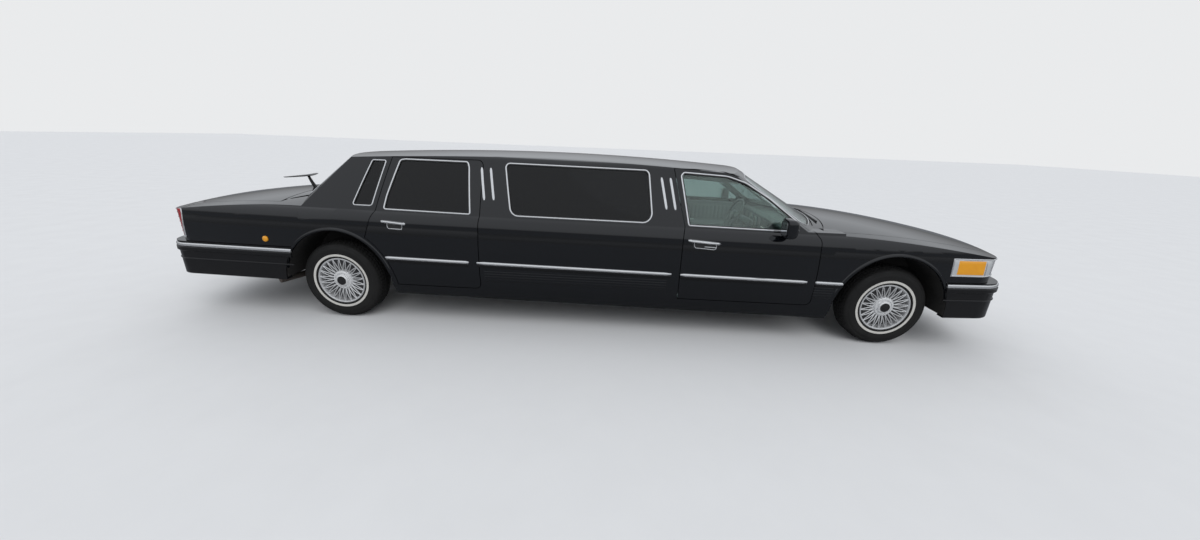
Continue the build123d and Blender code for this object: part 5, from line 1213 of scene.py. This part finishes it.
def leaned(origin, out, up):
    """A seat back's middle: from the foot of its lean, so far out of the back and so far up along it."""
    c, s = math.cos(BACK_LEAN), math.sin(BACK_LEAN)
    return np.array(origin) + out * np.array([c, 0, s]) + up * np.array([-s, 0, c])


def pad_piece(name, shape, origin, lean=0.0, turn=0.0, instead=None):
    """A stuffed pad set in its place, in leather."""
    made = piece(f"seat_{name}", (placed(shape[0], origin, lean, turn), shape[1]), LEATHER,
                 instead=instead)


def seat_base(name, half, origin):
    """Carpeted block under a seat."""
    points, faces = pillow_shape(half, 0.16)
    piece(f"seat_{name}", (points + origin, faces), CARPET)


def seats():
    """Two front seats with headrests, the rear bench, and the side bench on the left, each on its base."""
    cushion = stuffed("front_cushion", (0.240, 0.262, 0.066), (1, 2, 5), 0.011)
    back = stuffed("front_back", (0.063, 0.262, 0.285), (1, 0, 5), 0.011)
    rest = stuffed("front_rest", (0.046, 0.132, 0.066), (1, 0, 1), 0.007, 0.008)
    stem, stem_faces = lathe([(0.0, 0.0), (0.006, 0.0), (0.006, 0.075), (0.0, 0.075)], 16)
    for side, sign in SIDES:
        y = -FRONT_SEAT_Y * sign
        pad_piece(f"cushion_{side}", cushion, (FRONT_SEAT_X, y, 0.534),
                  instead="front_seats" if side == "right" else None)
        pad_piece(f"back_{side}", back, leaned((0.907, y, 0.540), 0.065, 0.297), BACK_LEAN)
        pad_piece(f"headrest_{side}", rest, (0.826, y, 1.172), BACK_LEAN / 2)
        seat_base(f"base_{side}", (0.195, 0.220, 0.072), (FRONT_SEAT_X, y, 0.402))
        for letter, place in (("a", -0.055), ("b", 0.055)):
            points = placed(stem[:, [0, 2, 1]], (0.812, y + place, 1.075), BACK_LEAN)
            piece(f"seat_post_{letter}_{side}", (points, stem_faces), CHROME)
    bench = stuffed("bench_cushion", (0.250, 0.558, 0.066), (1, 2, 10))
    bench_back = stuffed("bench_back", (0.063, 0.558, 0.262), (1, 0, 10))
    side_cushion = stuffed("side_cushion", (0.258, 0.594, 0.062), (1, 2, 10))
    side_back = stuffed("side_back", (0.062, 0.594, 0.170), (1, 0, 10))
    pad_piece("bench_cushion", bench, (-1.776, 0, 0.592), instead="rear_seats")
    pad_piece("bench_back", bench_back, leaned((-2.086, 0, 0.594), 0.065, 0.271), BACK_LEAN)
    pad_piece("side_cushion", side_cushion, (SIDE_SEAT_X, 0.575, 0.500), turn=-math.pi / 2)
    pad_piece("side_back", side_back, (SIDE_SEAT_X, 0.770, 0.722), turn=-math.pi / 2)
    seat_base("side_base", (0.590, 0.250, 0.052), (SIDE_SEAT_X, 0.580, 0.386))


STEERING_CENTRE = np.array([1.582, 0.375, 0.850])
STEERING_AXIS = np.array([-0.913545, 0.0, 0.406737])
RING_RADIUS, RING_TUBE = 0.176, 0.0125


def on_column(shape):
    """A shape about the Y axis, set on the steering column with Y towards the dashboard."""
    points, faces = shape
    up = np.array([STEERING_AXIS[2], 0.0, -STEERING_AXIS[0]])
    return (STEERING_CENTRE + points[:, :1] * np.array([0.0, 1.0, 0.0]) - points[:, 1:2] * STEERING_AXIS
            + points[:, 2:] * up), faces


def steering():
    """Ring as a torus swept by two angles, padded hub, three tapered spokes and the shroud of the column."""
    ring = lathe(np.array([RING_RADIUS, 0.0]) + RING_TUBE * circle(20), close=True)
    hub = lathe([(0.0, 0.021), (0.050, 0.021), (0.056, 0.012), (0.057, -0.008), (0.050, -0.018), (0.030, -0.022),
                 (0.0, -0.0225)], 64)
    section = np.array([[-0.015, -0.005], [-0.009, 0.006], [0.009, 0.006], [0.015, -0.005], [0.0, -0.007]])
    reach, y = np.linspace((0.040, -0.004), (0.172, 0.0), 9).T
    spokes = [carried(np.stack([reach * math.cos(angle), y, reach * math.sin(angle)], 1),
                      np.tile([0.0, -1.0, 0.0], (9, 1)), section) for angle in (0.0, math.pi, 1.5 * math.pi)]
    shroud = lathe([(0.0, 0.028), (0.034, 0.028), (0.040, 0.040), (0.044, 0.120), (0.044, 0.235), (0.0, 0.235)], 48)
    for name, shape, material, body, instead in (
            ("steering_ring", ring, LEATHER, "steering_wheel", "steering_wheel"),
            ("steering_hub", hub, PLASTIC, "steering_wheel", None),
            ("steering_spokes", merged(spokes), PLASTIC, "steering_wheel", None),
            ("column_shroud", shroud, PLASTIC, "chassis", None)):
        piece(name, on_column(shape), material, body, instead)


DASH_FACE, DIAL_Z, DIAL_RADIUS = 1.807, 0.803, 0.050


def plate(y0, y1, z0, z1, depth, radius, x=DASH_FACE):
    """Rounded plate standing off a face towards the back of the car, with a softened edge."""
    outline = rounded([(y0, z0), (y1, z0), (y1, z1), (y0, z1)], [radius] * 4, 0.003)
    off = outline - outline.mean(0)
    rings = [np.column_stack([np.full(len(off), x - out), outline - off * inset / np.abs(off).max()])
             for inset, out in ((0.0, -0.004), (0.0, depth * 0.6), (0.0015, depth), (0.004, depth))]
    return np.concatenate(rings), tube_faces(4, len(off))


def small_plate(y, z, half_y, half_z, depth, radius):
    """Rounded plate on the dashboard about a middle."""
    return plate(y - half_y, y + half_y, z - half_z, z + half_z, depth, radius)


def dash_details():
    """Dial panel with two marked dials, air vents with slats, a radio panel and a long trim strip."""
    vents, slats, rims, marks = [], [], [], []
    for y in (-0.735, 0.170, 0.590, 0.735):
        vents.append(plate(y - 0.050, y + 0.050, 0.795, 0.862, 0.005, 0.010))
        slats += [small_plate(y, z, 0.044, 0.0022, 0.009, 0.0015) for z in np.linspace(0.803, 0.854, 6)]
    for y in (0.310, 0.440):
        middle = np.array([y, DIAL_Z])
        path = np.column_stack([np.full(64, DASH_FACE - 0.006), middle + DIAL_RADIUS * circle(64)])
        rims.append(carried(path, np.tile(BACKWARD, (64, 1)), bead(0.005, 0.003, 5), True))
        marks += [small_plate(y - 0.041 * math.cos(angle), DIAL_Z + 0.041 * math.sin(angle), 0.0016, 0.0032, 0.008,
                              0.0008) for angle in np.radians(np.arange(-40, 221, 20))]
        needle = np.column_stack([np.full(6, DASH_FACE - 0.0075),
                                  middle + np.linspace((0.004, -0.004), (0.030, -0.022), 6)])
        marks.append(carried(needle, np.tile(BACKWARD, (6, 1)), bead(0.0024, 0.0015, 5)))
    marks += [small_plate(-0.065 + column * 0.0375, 0.7565 + row * 0.026, 0.011, 0.0065, 0.008, 0.003)
              for row in range(2) for column in range(5)]
    for name, shape, material in (
            ("dial_panel", plate(0.235, 0.515, 0.738, 0.868, 0.006, 0.020), DIAL),
            ("radio_panel", plate(-0.085, 0.105, 0.735, 0.862, 0.005, 0.010), DIAL),
            ("trim_strip_right", plate(-0.800, -0.100, 0.744, 0.764, 0.005, 0.006), WOOD),
            ("glovebox", plate(-0.640, -0.180, 0.772, 0.866, 0.004, 0.014), PLASTIC),
            ("vents", merged(vents), DIAL), ("vent_slats", merged(slats), PLASTIC),
            ("dial_rims", merged(rims), CHROME), ("dial_marks", merged(marks), MARKS)):
        piece(f"dash_{name}", shape, material)


def door_trims():
    """Inner panel of each door: thickness is a base, a rounded edge, a swelling armrest, sewn pleats and a pocket."""
    foot, top = 0.385, 0.925
    for door, front, rear_low, rear_high in (
            ("door_front", 1.860, 0.800, 0.800), ("door_rear", -0.860, -1.500, -1.690)):
        s, t = unit_grid(97, 57)
        z = foot + (top - foot) * t
        rear = rear_low + (rear_high - rear_low) * np.clip((z - 0.560) / 0.200, 0, 1)
        x = rear + (front - rear) * s
        edge = np.minimum(np.minimum(x - rear, front - x), np.minimum(z - foot, top - z))
        armrest = between(s, 0.06, 0.80, 0.06, 0.10) * np.exp(-np.abs((z - 0.645) / 0.032) ** 3)
        pleats = between(s, 0.10, 0.90, 0.03, 0.03) * between(z, 0.715, 0.880, 0.012, 0.012) \
            * np.abs(np.sin(math.pi * (x / 0.046))) ** 0.6
        pocket = between(s, 0.15, 0.65, 0.03, 0.03) * between(z, 0.420, 0.545, 0.02, 0.008)
        depth = 0.012 * rounded_edge(edge, 0.010) + 0.046 * armrest + 0.006 * pleats + 0.014 * pocket
        inner = np.stack([x, -CABIN_HALF + depth, z], -1)
        trim = closed_sheet(inner, np.stack([x, np.full_like(x, -CABIN_HALF - 0.002), z], -1))
        lever = carried(np.linspace((rear_high + 0.30, -CABIN_HALF + 0.020, 0.700),
                                    (rear_high + 0.44, -CABIN_HALF + 0.020, 0.700), 12),
                        np.tile([0.0, 1.0, 0.0], (12, 1)), bead(0.020, 0.010))
        both(f"{door}_trim", trim, PANEL_TRIM, door + "_{}")
        both(f"{door}_lever", lever, CHROME, door + "_{}")


def sheet_shape(surface, x0, x1, half, thick):
    """Closed thin sheet over a height function of (x, y), with its wall thickness upwards."""
    x, y = np.meshgrid(np.linspace(x0, x1, 60), np.linspace(-half, half, 41), indexing="ij")
    low = np.stack([x, y, surface(x, y)], -1)
    return closed_sheet(low, low + np.array([0.0, 0.0, thick]))


def carpets():
    """Carpet that follows the floor and its tunnel, and the headliner that follows the roof."""
    def floor(x, y):
        outer = TUNNEL_RADIUS + TUNNEL_WALL
        arch = np.where(np.abs(y) < outer, TUNNEL_Z + np.sqrt(np.maximum(outer**2 - y**2, 0.0)), 0.0)
        return np.maximum(FLOOR_TOP, arch) + 0.0006

    def roof(x, y):
        return top_height(ROOF_TOP, x, y) - 0.0475 - 0.045 * np.clip((np.abs(y) - 0.50) / 0.11, 0, 1) ** 2

    for name, shape, material in (
            ("carpet_front", sheet_shape(floor, 0.722, 2.060, 0.828, 0.008), CARPET),
            ("carpet_rear", sheet_shape(floor, -1.490, 0.662, 0.828, 0.008), CARPET),
            ("headliner", sheet_shape(roof, -2.020, 1.330, 0.610, 0.006), CLOTH)):
        piece(name, shape, material)


def cad_finishes():
    """Finishes of the CAD pieces that stay in view, each by the node's name."""
    for material, names in (
            (UNDERBODY, ("frame_rails", "floor_pan", "wheel_houses", "fuel_tank", "front_suspension", "rear_axle",
                         "knuckle_left", "knuckle_right")),
            (ENGINE, ("engine_block", "radiator", "driveline")), (STEEL, ("exhaust",)), (CHROME, ("grille",)),
            (SATIN, ("wipers",)), (PLASTIC, ("dashboard",)), (PANEL_TRIM, ("partition",))):
        for name in names:
            mesh = frame["nodes"][name].data
            mesh.materials.clear()
            mesh.materials.append(material)


PAINTED = ("side_frame_left", "side_frame_right", "roof_panel", "quarter_panels", "boot_shell", "cowl",
           "front_fenders", "hood", "trunk_lid", "door_front_left", "door_front_right", "door_rear_left",
           "door_rear_right")


place_camera()
stage()
cad_finishes()
dress("painted", PAINTED, PAINT, PANEL_GAP)
dress("clear", ("windscreen", "door_glass_front_left", "door_glass_front_right"), CLEAR_GLASS,
      GLASS_GAP)
dress("dark", ("rear_window", "fixed_side_glass", "door_glass_rear_left", "door_glass_rear_right"), DARK_GLASS,
      GLASS_GAP)
window_trims()
side_trims()
handles()
arch_lips()
wheels()
bumpers()
lamps()
mirrors()
aerial()
screen_trims()
lower_ribs()
splash_shields()
seats()
steering()
dash_details()
door_trims()
carpets()
